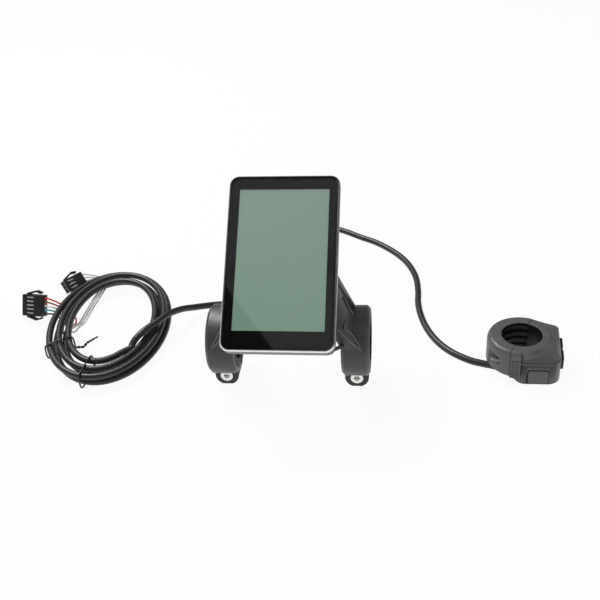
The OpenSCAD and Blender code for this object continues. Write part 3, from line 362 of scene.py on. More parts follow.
# Only gloss sees the card, so it lights nothing
def cardMaterial(glow):
    material = bpy.data.materials.new("paleCard")
    material.use_nodes = True
    tree = material.node_tree
    tree.nodes.clear()
    glossy = addNode(tree, "ShaderNodeLightPath").outputs["Is Glossy Ray"]
    lit = addNode(tree, "ShaderNodeEmission", {"Strength": glow}).outputs[0]
    clear = addNode(tree, "ShaderNodeBsdfTransparent").outputs[0]
    addNode(tree, "ShaderNodeOutputMaterial", {
        "Surface": mixed(tree, glossy, clear, lit)})
    return material


def softLamp(name, place, aim, size, power, inGloss):
    lamp = bpy.data.lights.new(name, "AREA")
    lamp.shape = "RECTANGLE"
    lamp.size, lamp.size_y = size
    lamp.energy = power
    holder = linkedObject(name, lamp)
    holder.location = place
    holder.rotation_euler = (Vector(aim) - Vector(place)).to_track_quat("-Z", "Y").to_euler()
    holder.visible_glossy = inGloss


makeWorld(studioSizes)
reach = studioSizes["floorReach"]
floorLevel = (tableHeight - studioSizes["floorGap"]) * mm
stagePlane("floor", [(x * reach, y * reach, floorLevel)
                     for x, y in ((-1, -1), (1, -1), (1, 1), (-1, 1))],
           floorMaterial(studioSizes))
stagePlane("card", studioSizes["card"], cardMaterial(studioSizes["cardGlow"]))
for lampName, lampSettings in studioSizes["lamps"].items():
    softLamp(lampName, *lampSettings)
bpy.context.scene.view_settings.view_transform = "Standard"
print("studio made")


# Ways to make and finish pieces
def addPiece(name, mesh, material, nodes, body="root"):
    mesh.materials.clear()
    for one in material if isinstance(material, (list, tuple)) else [material]:
        mesh.materials.append(one)
    piece = linkedObject(name, mesh)
    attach(piece, body)
    if nodes:
        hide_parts(*nodes)
    return piece


def smoothFaces(mesh, angle):
    for face in mesh.polygons:
        face.use_smooth = True
    mesh.set_sharp_from_angle(angle=math.radians(angle))


def meshFrom(name, work):
    mesh = bpy.data.meshes.new(name)
    work.to_mesh(mesh)
    work.free()
    return mesh


def curveThrough(places, steps):
    last = len(places) - 1
    points = []
    for i in range(last):
        a, b = places[max(i - 1, 0)], places[i]
        c, d = places[i + 1], places[min(i + 2, last)]
        for j in range(steps):
            t = j / steps
            points.append(0.5 * (2 * b + (c - a) * t + (2 * a - 5 * b + 4 * c - d) * t * t
                                 + (3 * b - a - 3 * c + d) * t * t * t))
    return points + [places[last]]


def pathLength(points):
    return sum((b - a).length for a, b in zip(points, points[1:]))


def easeStep(value, low, high):
    t = min(max((value - low) / (high - low), 0), 1)
    return t * t * (3 - 2 * t)


# A round tube along a path, with U along it in decimetres and V round it
tubeEnd = {"width": 0.82, "run": 0.15}  # how a rounded end draws in, in radii


def tubeMesh(name, points, radius, sides, roundEnds=True):
    work = bmesh.new()
    layer = work.loops.layers.uv.new("alongAndRound")
    last = len(points) - 1
    ways = [(points[min(i + 1, last)] - points[max(i - 1, 0)]).normalized()
            for i in range(last + 1)]
    side = ways[0].orthogonal().normalized()
    run = 0.0
    rings = []
    for i, (point, way) in enumerate(zip(points, ways)):
        side = (side - way * side.dot(way)).normalized()
        other = way.cross(side)
        run += (point - points[i - 1]).length if i else 0.0
        places = [(point, radius)]
        if roundEnds and i in (0, last):
            step = 1 if i == 0 else -1
            places = [(point, radius * tubeEnd["width"]),
                      (point + way * step * radius * tubeEnd["run"], radius)][::step]
        for centre, width in places:
            turns = [2 * math.pi * k / sides for k in range(sides)]
            rings.append(([work.verts.new(centre + (side * math.cos(turn)
                                                    + other * math.sin(turn)) * width)
                           for turn in turns], run))
    for (ringA, runA), (ringB, runB) in zip(rings, rings[1:]):
        for k in range(sides):
            n = (k + 1) % sides
            face = work.faces.new((ringA[k], ringA[n], ringB[n], ringB[k]))
            spots = [(runA, k), (runA, k + 1), (runB, k + 1), (runB, k)]
            for loop, (distance, step) in zip(face.loops, spots):
                loop[layer].uv = (distance * 10, step / sides)
    work.faces.new(list(reversed(rings[0][0])))
    work.faces.new(rings[-1][0])
    mesh = meshFrom(name, work)
    smoothFaces(mesh, 50)
    return mesh


# A CAD node's own shape with its edges eased: metres, degrees, and millimetres for each kind
easeSizes = {
    "weld": 2e-6, "flatAngle": 0.7, "segments": 2, "edgeAngle": 32,
    "bracket": 0.35, "fastener": 0.12, "rubber": 0.15, "remote": 0.25, "base": 0.2,
    "button": 0.3, "plug": 0.15,
}


def easedMesh(nodeName, kind, smooth=32):
    work = bmesh.new()
    work.from_mesh(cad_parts[nodeName].data)
    bmesh.ops.remove_doubles(work, verts=work.verts, dist=easeSizes["weld"])
    bmesh.ops.dissolve_limit(work, angle_limit=math.radians(easeSizes["flatAngle"]),
                             verts=work.verts, edges=work.edges)
    mesh = meshFrom(nodeName + "Eased", work)
    if "custom_normal" in mesh.attributes:
        mesh.attributes.remove(mesh.attributes["custom_normal"])
    holder = linkedObject(nodeName + "Work", mesh)
    bevel = holder.modifiers.new("ease", "BEVEL")
    bevel.width = easeSizes[kind] * mm
    bevel.segments = easeSizes["segments"]
    bevel.limit_method = "ANGLE"
    bevel.angle_limit = math.radians(easeSizes["edgeAngle"])
    bevel.use_clamp_overlap = True
    graph = bpy.context.evaluated_depsgraph_get()
    mesh = bpy.data.meshes.new_from_object(holder.evaluated_get(graph))
    bpy.data.objects.remove(holder)
    smoothFaces(mesh, smooth)
    return mesh


def pieceName(nodeName):
    first, *others = nodeName.split("_")
    return first + "".join(word.capitalize() for word in others)


def easedPiece(nodeName, finish, kind, body="root", **more):
    return addPiece(pieceName(nodeName), easedMesh(nodeName, kind, **more), finishes[finish],
                    (nodeName,), body)


# Geometry Nodes: a group with named inputs, and its way out through the piece's material
def newTree(name, sockets):
    tree = bpy.data.node_groups.new(name, "GeometryNodeTree")
    for title, kind in sockets.items():
        tree.interface.new_socket(name=title, in_out="INPUT", socket_type="NodeSocket" + kind)
    tree.interface.new_socket(name="Made", in_out="OUTPUT", socket_type="NodeSocketGeometry")
    return tree, addNode(tree, "NodeGroupInput").outputs


def finishTree(tree, geometry, material, shade=None):
    real = addNode(tree, "GeometryNodeRealizeInstances", {0: geometry})
    dressed = addNode(tree, "GeometryNodeSetMaterial", {
        "Geometry": real.outputs[0], "Material": material})
    if shade:
        marked = addNode(tree, "GeometryNodeInputNamedAttribute", {"Name": "inShade"},
                         data_type="BOOLEAN")
        dressed = addNode(tree, "GeometryNodeSetMaterial", {
            "Geometry": dressed.outputs[0], "Selection": marked.outputs["Attribute"],
            "Material": shade})
    addNode(tree, "NodeGroupOutput", {"Made": dressed.outputs[0]})
    return tree


# One item set at every place, each copy turned a step further than the last
def repeatTree(name, material, shade):
    tree, given = newTree(name, {"Places": "Geometry", "Item": "Object", "First turn": "Float",
                                 "Turn step": "Float"})
    item = addNode(tree, "GeometryNodeObjectInfo", {"Object": given["Item"]})
    index = addNode(tree, "GeometryNodeInputIndex").outputs[0]
    turn = addNode(tree, "ShaderNodeMath", {
        0: index, 1: given["Turn step"], 2: given["First turn"]}, operation="MULTIPLY_ADD")
    turned = addNode(tree, "ShaderNodeCombineXYZ", {"Z": turn.outputs[0]})
    rotation = addNode(tree, "FunctionNodeEulerToRotation", {0: turned.outputs[0]})
    spread = addNode(tree, "GeometryNodeInstanceOnPoints", {
        "Points": given["Places"], "Instance": item.outputs["Geometry"],
        "Rotation": rotation.outputs[0]})
    return finishTree(tree, spread.outputs[0], material, shade)


def growNodes(holder, tree, values):
    modifier = holder.modifiers.new("grow", "NODES")
    modifier.node_group = tree
    for socket in tree.interface.items_tree:
        if socket.in_out == "INPUT" and socket.name in values:
            modifier[socket.identifier] = values[socket.name]
    graph = bpy.context.evaluated_depsgraph_get()
    mesh = bpy.data.meshes.new_from_object(holder.evaluated_get(graph))
    holder.modifiers.remove(modifier)
    bpy.data.objects.remove(holder)
    return mesh


def repeated(name, item, places, finish, shade=None, firstTurn=0.0, turnStep=0.0):
    spots = bpy.data.meshes.new(name + "Places")
    spots.from_pydata([tuple(p) for p in places], [], [])
    itemHolder = linkedObject(name + "Item", item)
    tree = repeatTree(name + "Nodes", finishes[finish], finishes[shade] if shade else None)
    mesh = growNodes(linkedObject(name + "Spots", spots), tree, {
        "Item": itemHolder, "First turn": firstTurn, "Turn step": turnStep})
    bpy.data.objects.remove(itemHolder)
    return mesh


def keepMaterials(name, mesh, nodes=()):
    return addPiece(name, mesh, [m for m in mesh.materials if m], nodes)


# The first separate lump of a mesh, brought to the origin, and the middles of all the lumps
def oneOfMany(mesh):
    work = bmesh.new()
    work.from_mesh(mesh)
    unseen, lumps = set(work.verts), []
    while unseen:
        lump, edge = set(), [next(v for v in work.verts if v in unseen)]
        while edge:
            vert = edge.pop()
            if vert in unseen:
                unseen.discard(vert)
                lump.add(vert)
                edge += [e.other_vert(vert) for e in vert.link_edges]
        lumps.append(lump)

    def middle(lump):
        return Vector([(min(v.co[i] for v in lump) + max(v.co[i] for v in lump)) / 2
                       for i in range(3)])

    middles = [middle(lump) for lump in lumps]
    bmesh.ops.delete(work, geom=[v for v in work.verts if v not in lumps[0]], context="VERTS")
    bmesh.ops.translate(work, verts=work.verts, vec=-middles[0])
    return meshFrom(mesh.name + "One", work), middles


# Marks the faces that get the painted shade
def markShade(item, test):
    marks = item.attributes.new("inShade", "BOOLEAN", "FACE")
    for face in item.polygons:
        marks.data[face.index].value = test(face)


# Fasteners: the CAD's own item, eased, then repeated at each of its places
def repeatedPiece(nodeName, finish, shade=None, test=None):
    name = pieceName(nodeName)
    item, places = oneOfMany(easedMesh(nodeName, "fastener"))
    if test:
        markShade(item, test)
    mesh = repeated(name, item, places, finish, shade)
    smoothFaces(mesh, 32)
    return keepMaterials(name, mesh, (nodeName,))


def evenLine(tree, given):
    return addNode(tree, "GeometryNodeResampleCurve", {
        "Curve": given["Line"], "Count": given["Samples"]}).outputs["Curve"]


def barAlong(tree, line, radius):
    profile = addNode(tree, "GeometryNodeCurvePrimitiveCircle", {
        "Resolution": 10, "Radius": radius})
    return addNode(tree, "GeometryNodeCurveToMesh", {
        "Curve": line, "Profile Curve": profile.outputs["Curve"],
        "Fill Caps": True}).outputs["Mesh"]


# Two strands twisted round a line, closing up towards its far end
def twistTree(name, material):
    tree, given = newTree(name, {"Line": "Geometry", "Samples": "Int", "Radius": "Float",
                                 "Spread": "Float", "Twists": "Float"})

    def vectors(operation, a, b):
        second = "Scale" if operation == "SCALE" else 1
        return addNode(tree, "ShaderNodeVectorMath", {0: a, second: b},
                       operation=operation).outputs["Vector"]

    line = evenLine(tree, given)
    along = addNode(tree, "GeometryNodeSplineParameter").outputs["Factor"]
    normal = addNode(tree, "GeometryNodeInputNormal").outputs["Normal"]
    tangent = addNode(tree, "GeometryNodeInputTangent").outputs["Tangent"]
    across = vectors("CROSS_PRODUCT", tangent, normal)
    closing = sums(tree, "SUBTRACT", 1, sums(tree, "POWER", along, 4))
    reach = sums(tree, "MULTIPLY", given["Spread"], closing)
    turned = sums(tree, "MULTIPLY", sums(tree, "MULTIPLY", along, given["Twists"]), 2 * math.pi)
    joined = addNode(tree, "GeometryNodeJoinGeometry")
    for phase in (0, math.pi):
        angle = sums(tree, "ADD", turned, phase)
        parts = [vectors("SCALE", way, sums(tree, "MULTIPLY", reach, sums(tree, wave, angle)))
                 for way, wave in ((normal, "COSINE"), (across, "SINE"))]
        shifted = addNode(tree, "GeometryNodeSetPosition", {
            "Geometry": line, "Offset": vectors("ADD", *parts)})
        strand = barAlong(tree, shifted.outputs["Geometry"], given["Radius"])
        tree.links.new(strand, joined.inputs["Geometry"])
    return finishTree(tree, joined.outputs["Geometry"], material)


def ribTree(name, material):
    tree, given = newTree(name, {"Line": "Geometry", "Samples": "Int", "Radius": "Float"})
    return finishTree(tree, barAlong(tree, evenLine(tree, given), given["Radius"]), material)


def grownAlong(name, lines, makeTree, finish, values):
    curve = bpy.data.curves.new(name + "Line", "CURVE")
    curve.dimensions = "3D"
    for points in lines:
        spline = curve.splines.new("POLY")
        spline.points.add(len(points) - 1)
        for spot, point in zip(spline.points, points):
            spot.co = (*point, 1)
    return growNodes(linkedObject(name + "Line", curve), makeTree(name + "Nodes", finishes[finish]),
                     values)


# Cords. Their places are in millimetres: x, y and the height over the table
headSizes = {
    "tilt": 41, "reach": 29, "rise": 49, "glandX": 6.5, "glandY": -3, "glandDepth": 29.5,
}
cordSizes = {
    "diameter": 4,
    "steps": 10,
    "sides": 18,
    "glandRun": 1.5,  # diameters, straight out of a gland
    "coilRun": 0.8,  # diameters, straight into the coil
    "podLeft": (127.9, 2.5, -24.1),  # middle of the remote's left corner, at the boot's height
    "bootTurn": 27,  # degrees
    "bootReach": 14.3,  # from that corner to the boot's end
}
remoteLay = [
    (7, 19, 41), (8, 29, 26), (9, 41, 11), (8, 57, 2), (5, 77, 0), (0, 101, 0), (-2, 126, 0),
    (-1, 148, 0), (3, 163, 0), (9, 170.3, 0), (17, 167.8, 0), (29.6, 158.6, 0),
    (42.3, 149.7, 0), (54.8, 136.3, 0), (63.3, 122.3, 0), (68.6, 105.5, 0), (70.2, 88.5, 0),
    (70.2, 74.2, 0), (71.8, 60.5, 0), (75.3, 46.6, 0), (81.3, 33.2, 0), (89.1, 23.1, 0),
    (98.7, 15.8, 0), (105.8, 12.6, 0.2)]
mainLay = [
    (-7, 18, 41), (-9, 28, 26), (-12, 40, 11), (-17, 54, 2), (-27, 66, 0.1), (-41, 70, 0.1),
    (-54, 70, 0.5), (-63, 66, 2), (-70, 61, 4), (-75, 54, 7.5), (-79, 47, 10), (-82, 41, 11.4),
    (-85, 35, 11.7), (-89, 29, 11.5), (-92, 24, 11.2), (-95.2, 19.6, 9.6), (-97.3, 16.6, 7.2)]


def headTurn(point):
    return Matrix.Rotation(math.radians(headSizes["tilt"]), 3, "X") @ Vector(point)


def leavingGland(side):
    sizes = headSizes
    start = headTurn((side * sizes["glandX"], sizes["glandY"] + sizes["reach"],
                      sizes["rise"] - sizes["glandDepth"]))
    return [start, start + headTurn((0, 0, -1)) * cordSizes["diameter"] * cordSizes["glandRun"]]


coilSizes = {
    "centre": (-119, 43), "longHalf": 60, "shortHalf": 37, "longPitch": 7.4, "shortPitch": 5.6,
    "layerRise": 4.7, "turn": 98, "start": -52, "turns": 4.28, "outwardTurns": 2.5,
    "climb": 0.25, "stepsPerTurn": 72, "partSteps": 24,
    "base": -26.3 + 1 + 0.35 + 2,  # the table, a tie, its gap and half a cable
}


# The coil goes out over its upper layer, drops a layer, and comes in again under it
def coilPlace(t, sizes=coilSizes):
    drop, climb = sizes["outwardTurns"], sizes["climb"]
    step = abs(drop - t)
    level = 1 - easeStep(t, drop - climb, drop + climb)
    angle = math.radians(sizes["start"] - 360 * t - sizes["turn"])
    x = (sizes["longHalf"] - sizes["longPitch"] * step) * math.cos(angle)
    y = (sizes["shortHalf"] - sizes["shortPitch"] * step) * math.sin(angle)
    turn = math.radians(sizes["turn"])
    return Vector((sizes["centre"][0] + x * math.cos(turn) - y * math.sin(turn),
                   sizes["centre"][1] + x * math.sin(turn) + y * math.cos(turn),
                   sizes["base"] + sizes["layerRise"] * level))


partCount = round(coilSizes["turns"] * coilSizes["partSteps"])
coilIn = (coilPlace(coilSizes["turns"] / partCount) - coilPlace(0)).normalized()
coilOut = (coilPlace(coilSizes["turns"] + 1 / coilSizes["partSteps"])
           - coilPlace(coilSizes["turns"])).normalized()


# From a gland over its lay to its last places, nowhere lower than the table lets it
def cordRun(side, lay, last):
    radius = cordSizes["diameter"] / 2
    laid = [Vector((x, y, z + tableHeight + radius)) for x, y, z in lay]
    return [Vector((p.x, p.y, max(p.z, tableHeight + radius)))
            for p in curveThrough(leavingGland(side) + laid + last, cordSizes["steps"])]


def mainCablePath():
    diameter = cordSizes["diameter"]
    first = coilPlace(0) - coilIn * diameter
    lead = cordRun(-1, mainLay, [first - coilIn * cordSizes["coilRun"] * diameter, first])
    count = round(coilSizes["turns"] * coilSizes["stepsPerTurn"])
    turns = [coilPlace(coilSizes["turns"] * i / count) for i in range(count + 1)]
    return lead + turns + [turns[-1] + coilOut * diameter]


def remoteCablePath():
    turn = math.radians(cordSizes["bootTurn"])
    way = Vector((math.cos(turn), -math.sin(turn), 0))
    end = Vector(cordSizes["podLeft"]) - way * cordSizes["bootReach"]
    return cordRun(1, remoteLay, [end - way * cordSizes["diameter"], end])


def inMetres(points):
    return [p * mm for p in points]


mainPath = inMetres(mainCablePath())
remotePath = inMetres(remoteCablePath())


def layCable(name, path, *nodes):
    mesh = tubeMesh(name, path, cordSizes["diameter"] / 2 * mm, cordSizes["sides"])
    return addPiece(name, mesh, finishes["jacket"], nodes)


mainCable = layCable("mainCable", mainPath, "main_cable", "main_cable_coil")
remoteCable = layCable("remoteCable", remotePath, "remote_cable")
print("cables laid:", round(pathLength(mainPath), 3), round(pathLength(remotePath), 3), "m")

# The eight wires between the sleeve and the two plugs
wireSizes = {
    "diameter": 1.1, "ringRadius": 1.65, "count": 8, "ease": 4.5, "sides": 10,
    "steps": 6, "bendSteps": 12, "clear": 0.05, "sleeveLength": 7, "plugLength": 14,
    "pitch": 2.5,
}
# Each plug's place and turn; for each wire its colour and place in the sleeve, and its lay
plugs = {
    "A": {
        "at": (-172, 56, tableHeight + 10), "lean": 64, "turn": -7,
        "wires": [("wireBlack", 4), ("wireTeal", 5), ("wireWhite", 6), ("wireBrown", 7),
                  ("wireRed", 3)],
        "lays": [
            [(-149.3, 38, 0.4), (-151.6, 45.5, 0.1), (-154.6, 52.5, 0), (-158.6, 57, 0)],
            [(-147.6, 38.8, 0.3), (-149.9, 46.3, 0.1), (-152.7, 53.3, 0), (-157.4, 58.9, 0)],
            [(-146.1, 39.1, 0.3), (-148.1, 47.1, 0.1), (-150.8, 54.1, 0), (-156.2, 60.8, 0)],
            [(-144.6, 39.3, 0.3), (-146.4, 47.9, 0.1), (-149, 54.9, 0), (-155, 62.7, 0)],
            [(-146.1, 38.8, 2.3), (-145.9, 43.5, 1.8), (-144.3, 48.6, 0.7), (-147, 55.7, 0),
             (-153.8, 64.6, 0)]],
    },
    "B": {
        "at": (-157, 86.8, tableHeight + 7.5), "lean": 50, "turn": 55,
        "wires": [("wireIvory", 2), ("wirePearl", 1), ("wirePlain", 0)],
        "lays": [
            [(-145, 39.2, 2.4), (-144.3, 44, 1.8), (-142.4, 49, 0.4), (-142.2, 56, 0.1),
             (-142, 73, 0), (-141, 92, 0), (-142.6, 97, 0)],
            [(-143.8, 39.3, 2.6), (-142.6, 44.5, 1.4), (-140.7, 50, 0.2), (-140.5, 56, 0.1),
             (-140.3, 73, 0), (-139.3, 92, 0), (-140.2, 98, 0)],
            [(-141.9, 39.4, 0.7), (-140.8, 45, 0.4), (-139, 50, 0.1), (-138.8, 56, 0.1),
             (-138.5, 73, 0), (-137.6, 92, 0), (-137.8, 99, 0)]],
    },
}


def plugTurn(point, plug):
    lean = Matrix.Rotation(math.radians(plug["lean"]), 3, "X")
    turn = Matrix.Rotation(math.radians(plug["turn"]), 3, "Z")
    return turn @ lean @ Vector(point)


def pinPlace(plug, pin, out=0.0):
    offset = (pin - (len(plug["wires"]) - 1) / 2) * wireSizes["pitch"]
    return Vector(plug["at"]) + plugTurn((out, offset, 0), plug)


sleeveEnd = mainPath[-1] / mm + coilOut * wireSizes["sleeveLength"]
sleeveSide = coilOut.cross(Vector((0, 0, 1))).normalized()
sleeveUp = sleeveSide.cross(coilOut)


def wirePath(plug, pin, place):
    sizes = wireSizes
    turn = 2 * math.pi * place / sizes["count"]
    top = sleeveEnd + (sleeveSide * math.cos(turn) + sleeveUp * math.sin(turn)) \
        * sizes["ringRadius"]
    way = plugTurn((1, 0, 0), plug)
    foot = pinPlace(plug, pin, sizes["plugLength"] / 2)
    height = tableHeight + sizes["diameter"] / 2 + sizes["clear"]
    low = [Vector((x, y, z + height)) for x, y, z in plug["lays"][pin]]
    away = (low[-1] - low[-2]).normalized() * sizes["ease"]
    a, b, c, d = low[-1], low[-1] + away, foot + way * sizes["ease"], foot
    bend = []
    for i in range(1, sizes["bendSteps"] + 1):
        t = i / sizes["bendSteps"]
        ab, bc, cd = a.lerp(b, t), b.lerp(c, t), c.lerp(d, t)
        bend.append(ab.lerp(bc, t).lerp(bc.lerp(cd, t), t))
    return curveThrough([top, top + coilOut * sizes["diameter"]] + low, sizes["steps"]) + bend


def makeWires(label, plug):
    made = []
    for pin, (colour, place) in enumerate(plug["wires"]):
        path = inMetres(wirePath(plug, pin, place))
        name = colour + label
        mesh = tubeMesh(name, path, wireSizes["diameter"] / 2 * mm, wireSizes["sides"], False)
        node = "plug_" + label.lower() + "_wires"
        made.append((addPiece(name, mesh, finishes[colour], (node,)), path))
    return made


wirePieces = {label: makeWires(label, plug) for label, plug in plugs.items()}
print("wires laid:", sum(len(made) for made in wirePieces.values()))

# Contact blades in the plugs' windows, in the plug's own millimetres
bladeSizes = {"from": -5.05, "to": 1.95, "width": 1.0, "low": -1.05, "high": 1.45, "ease": 0.12}


def contactBlades(label, plug):
    sizes = bladeSizes
    name, half = "contacts" + label, sizes["width"] / 2
    work = bmesh.new()
    made = bmesh.ops.create_cube(work, size=1)["verts"]
    for vert in made:
        local = (sizes["to"] if vert.co.x > 0 else sizes["from"], half if vert.co.y > 0 else -half,
                 sizes["high"] if vert.co.z > 0 else sizes["low"])
        vert.co = plugTurn(local, plug) * mm
    bmesh.ops.bevel(work, geom=list(work.edges), offset=sizes["ease"] * mm, segments=2,
                    affect="EDGES")
    places = inMetres([pinPlace(plug, pin) for pin in range(len(plug["wires"]))])
    blades = repeated(name, meshFrom(name + "Blade", work), places, "tinnedContact")
    keepMaterials(name, blades, ("plug_" + label.lower() + "_contacts",))


for label, plug in plugs.items():
    contactBlades(label, plug)

# Twist ties: a coated wire round the bundle, and its two ends twisted together
tieSizes = {"diameter": 1.0, "gap": 0.35, "sides": 10, "steps": 5, "corner": 0.6,
            "ahead": 0.01, "softenings": 3, "strand": 0.84, "spread": 0.42, "twists": 4,
            "samples": 90, "tailSteps": 10}
# Where round the coil each tie is, and its tail from the loop's foot
tieTails = {
    "left_tie": (0.26, [(0, 0, 0), (2, -1, 1), (5, 0, 0.5), (7, 2, 2), (9, 6, 1.5), (11, 10, 1)]),
    "front_tie": (0.12, [(0, 0, 0), (-1, 4, 1), (2, 5, 1.5), (3, 3, 1)]),
}


def tieLoop(share):
    sizes = tieSizes
    way = coilPlace(share + sizes["ahead"]) - coilPlace(share)
    across = way.cross(Vector((0, 0, 1))).normalized()
    outer = coilPlace(share + math.floor(coilSizes["outwardTurns"]))
    inner = coilPlace(share)
    if across.dot(outer - inner) < 0:
        across = -across
    clear = cordSizes["diameter"] / 2 + sizes["gap"] + sizes["diameter"] / 2
    far, near = outer + across * clear, inner - across * clear
    low = tableHeight + sizes["diameter"] / 2
    high = coilSizes["base"] + coilSizes["layerRise"] + clear
    drop = clear * sizes["corner"]

    def at(base, height, shift=0.0):
        return Vector((base[0], base[1], height)) + across * shift

    return [at(near, high - drop), at(near, low + drop), at(near, low, drop),
            at(far, low, -drop), at(far, low + drop), at(far, high - drop),
            at(far, high, -drop), at(near, high, drop)], at(near, low + drop)


for tieNode, (tieShare, tieTail) in tieTails.items():
    tieName = pieceName(tieNode)
    corners, root = tieLoop(tieShare)
    ring = [a.lerp(b, j / tieSizes["steps"]) for a, b in zip(corners, corners[1:] + corners[:1])
            for j in range(tieSizes["steps"])]
    for _ in range(tieSizes["softenings"]):
        ring = [(ring[i - 1] + ring[i] * 2 + ring[(i + 1) % len(ring)]) / 4
                for i in range(len(ring))]
    loopMesh = tubeMesh(tieName + "Loop", inMetres(ring + [ring[0]]),
                        tieSizes["diameter"] / 2 * mm, tieSizes["sides"], False)
    tailLine = curveThrough([root + Vector(p) for p in tieTail], tieSizes["tailSteps"])
    tailMesh = grownAlong(tieName + "Tail", [inMetres(tailLine)], twistTree, "tieCoat", {
        "Samples": tieSizes["samples"], "Radius": tieSizes["strand"] / 2 * mm,
        "Spread": tieSizes["spread"] * mm, "Twists": tieSizes["twists"]})
    work = bmesh.new()
    work.from_mesh(loopMesh)
    work.from_mesh(tailMesh)
    tieMesh = meshFrom(tieName, work)
    smoothFaces(tieMesh, 60)
    addPiece(tieName, tieMesh, finishes["tieCoat"], (tieNode,))
print("ties made")

# Head: the glass and its rim. Depths count down from the glass's front
faceSizes = {
    "glassWidth": 56, "glassLength": 92, "glassCorner": 4, "glassThick": 1.1, "glassEase": 0.25,
    "glassFlat": 0.45, "glassShoulder": (0.18, -0.05), "glassUnder": 0.15, "rimWidth": 1,
    "rimHeight": 5, "wall": 1.2, "ledge": 1.8, "ledgeFront": 1.4, "ledgeBack": 2.6, "fit": 0.1,
    "rimLip": 0.08, "lipEase": 0.16, "bevelInner": 0.56, "bevelOuter": 0.06, "bevelDrop": 0.50,
    "edgeEase": 0.14, "backEase": 0.18, "arcSteps": 10, "leastCorner": 0.4,
}
headMatrix = Matrix.Rotation(math.radians(headSizes["tilt"]), 4, "X") @ Matrix.Translation(
    (0, headSizes["reach"], headSizes["rise"]))


# Faces between outlines of equal length; closed joins the last outline to the first
def skinOutlines(name, outlines, matrix, closed=False):
    work = bmesh.new()
    rings = [[work.verts.new((matrix @ p) * mm) for p in outline] for outline in outlines]
    for a, b in zip(rings, rings[1:] + (rings[:1] if closed else [])):
        for k in range(len(a)):
            n = (k + 1) % len(a)
            work.faces.new((a[k], a[n], b[n], b[k]))
    if not closed:
        work.faces.new(list(reversed(rings[0])))
        work.faces.new(rings[-1])
    bmesh.ops.recalc_face_normals(work, faces=work.faces)
    mesh = meshFrom(name, work)
    smoothFaces(mesh, 30)
    return mesh


# The face's outline, so far in from the rim's outside and at this height
def faceOutline(inset, height, sizes=faceSizes):
    grown = sizes["rimWidth"] - inset
    corner = max(sizes["glassCorner"] + grown, sizes["leastCorner"])
    across, along = (sizes[key] / 2 + grown - corner for key in ("glassWidth", "glassLength"))
    points = []
    for x, y, start in ((1, 1, 0), (-1, 1, 90), (-1, -1, 180), (1, -1, 270)):
        for i in range(sizes["arcSteps"] + 1):
            turn = math.radians(start + 90 * i / sizes["arcSteps"])
            points.append(Vector((x * across + corner * math.cos(turn),
                                  y * along + corner * math.sin(turn), height)))
    return points


def glassProfile(sizes):
    edge, back, under = sizes["rimWidth"], -sizes["glassThick"], sizes["glassUnder"]
    inward, low = sizes["glassShoulder"]
    return [(edge + sizes["glassFlat"], 0), (edge + inward, low), (edge, -sizes["glassEase"]),
            (edge, back + under), (edge + under, back)]


def rimProfile(sizes):
    seat, wall = sizes["rimWidth"] - sizes["fit"], sizes["wall"]
    shelf = sizes["rimWidth"] + sizes["ledge"]
    low, back = -sizes["bevelDrop"], -sizes["rimHeight"]
    return [(seat, -sizes["rimLip"]), (seat - sizes["lipEase"], 0), (sizes["bevelInner"], 0),
            (sizes["bevelOuter"], low), (0, low - sizes["edgeEase"]),
            (0, back + sizes["backEase"]), (sizes["backEase"], back), (wall, back),
            (wall, -sizes["ledgeBack"]), (shelf, -sizes["ledgeBack"]),
            (shelf, -sizes["ledgeFront"]), (seat, -sizes["ledgeFront"])]


glassMesh = skinOutlines("coverGlass", [faceOutline(*spot) for spot in glassProfile(faceSizes)],
                         headMatrix)
addPiece("coverGlass", glassMesh, finishes["coverGlass"], ("cover_glass",))
rimMesh = skinOutlines("metalRim", [faceOutline(*spot) for spot in rimProfile(faceSizes)],
                       headMatrix, True)
addPiece("metalRim", rimMesh, [finishes["satinRim"], finishes["polishedRim"]],
         ("metal_frame",))
perRing = 4 * (faceSizes["arcSteps"] + 1)
for index, face in enumerate(rimMesh.polygons):  # the bevel and the eased edge are polished
    face.material_index = 1 if index // perRing in (2, 3) else 0
print("glass and rim made")

# What stays the CAD's own shape, with its finish
plainFinishes = {
    "mask_film": "blackBorder", "lcd_panel": "display", "light_guide": "whiteGuide",
    "circuit_board": "board", "board_components": "blackEpoxy", "gasket": "blackRubber",
    "remote_board": "board", "remote_switches": "blackEpoxy",
}
for nodeName, finish in plainFinishes.items():
    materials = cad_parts[nodeName].data.materials
    materials.clear()
    materials.append(finishes[finish])


# A second finish on the faces that the test picks
def shadeFaces(piece, finish, test):
    piece.data.materials.append(finishes[finish])
    for face in piece.data.polygons:
        face.material_index = 1 if test(face) else 0


# Bracket and fasteners
easedPiece("rear_housing", "housingPlastic", "bracket")
earTop = -16.6  # mm: the screw ears below the rings get a darker copy of the arm plastic, painted shade
for nodeName in ("left_arm", "right_arm"):
    shadeFaces(easedPiece(nodeName, "armPlastic", "bracket", smooth=40), "paintedShadePlastic",
               lambda face: face.center.z < earTop * mm)
for nodeName in ("left_reducer", "right_reducer", "main_gland", "remote_gland", "cable_sleeve",
                 "remote_boot"):
    easedPiece(nodeName, "blackRubber", "rubber")
for nodeName in ("housing_screws", "arm_screws", "pinch_nuts", "remote_base_screws"):
    repeatedPiece(nodeName, "chromePlate")
repeatedPiece("remote_clamp_screws", "darkSteel")

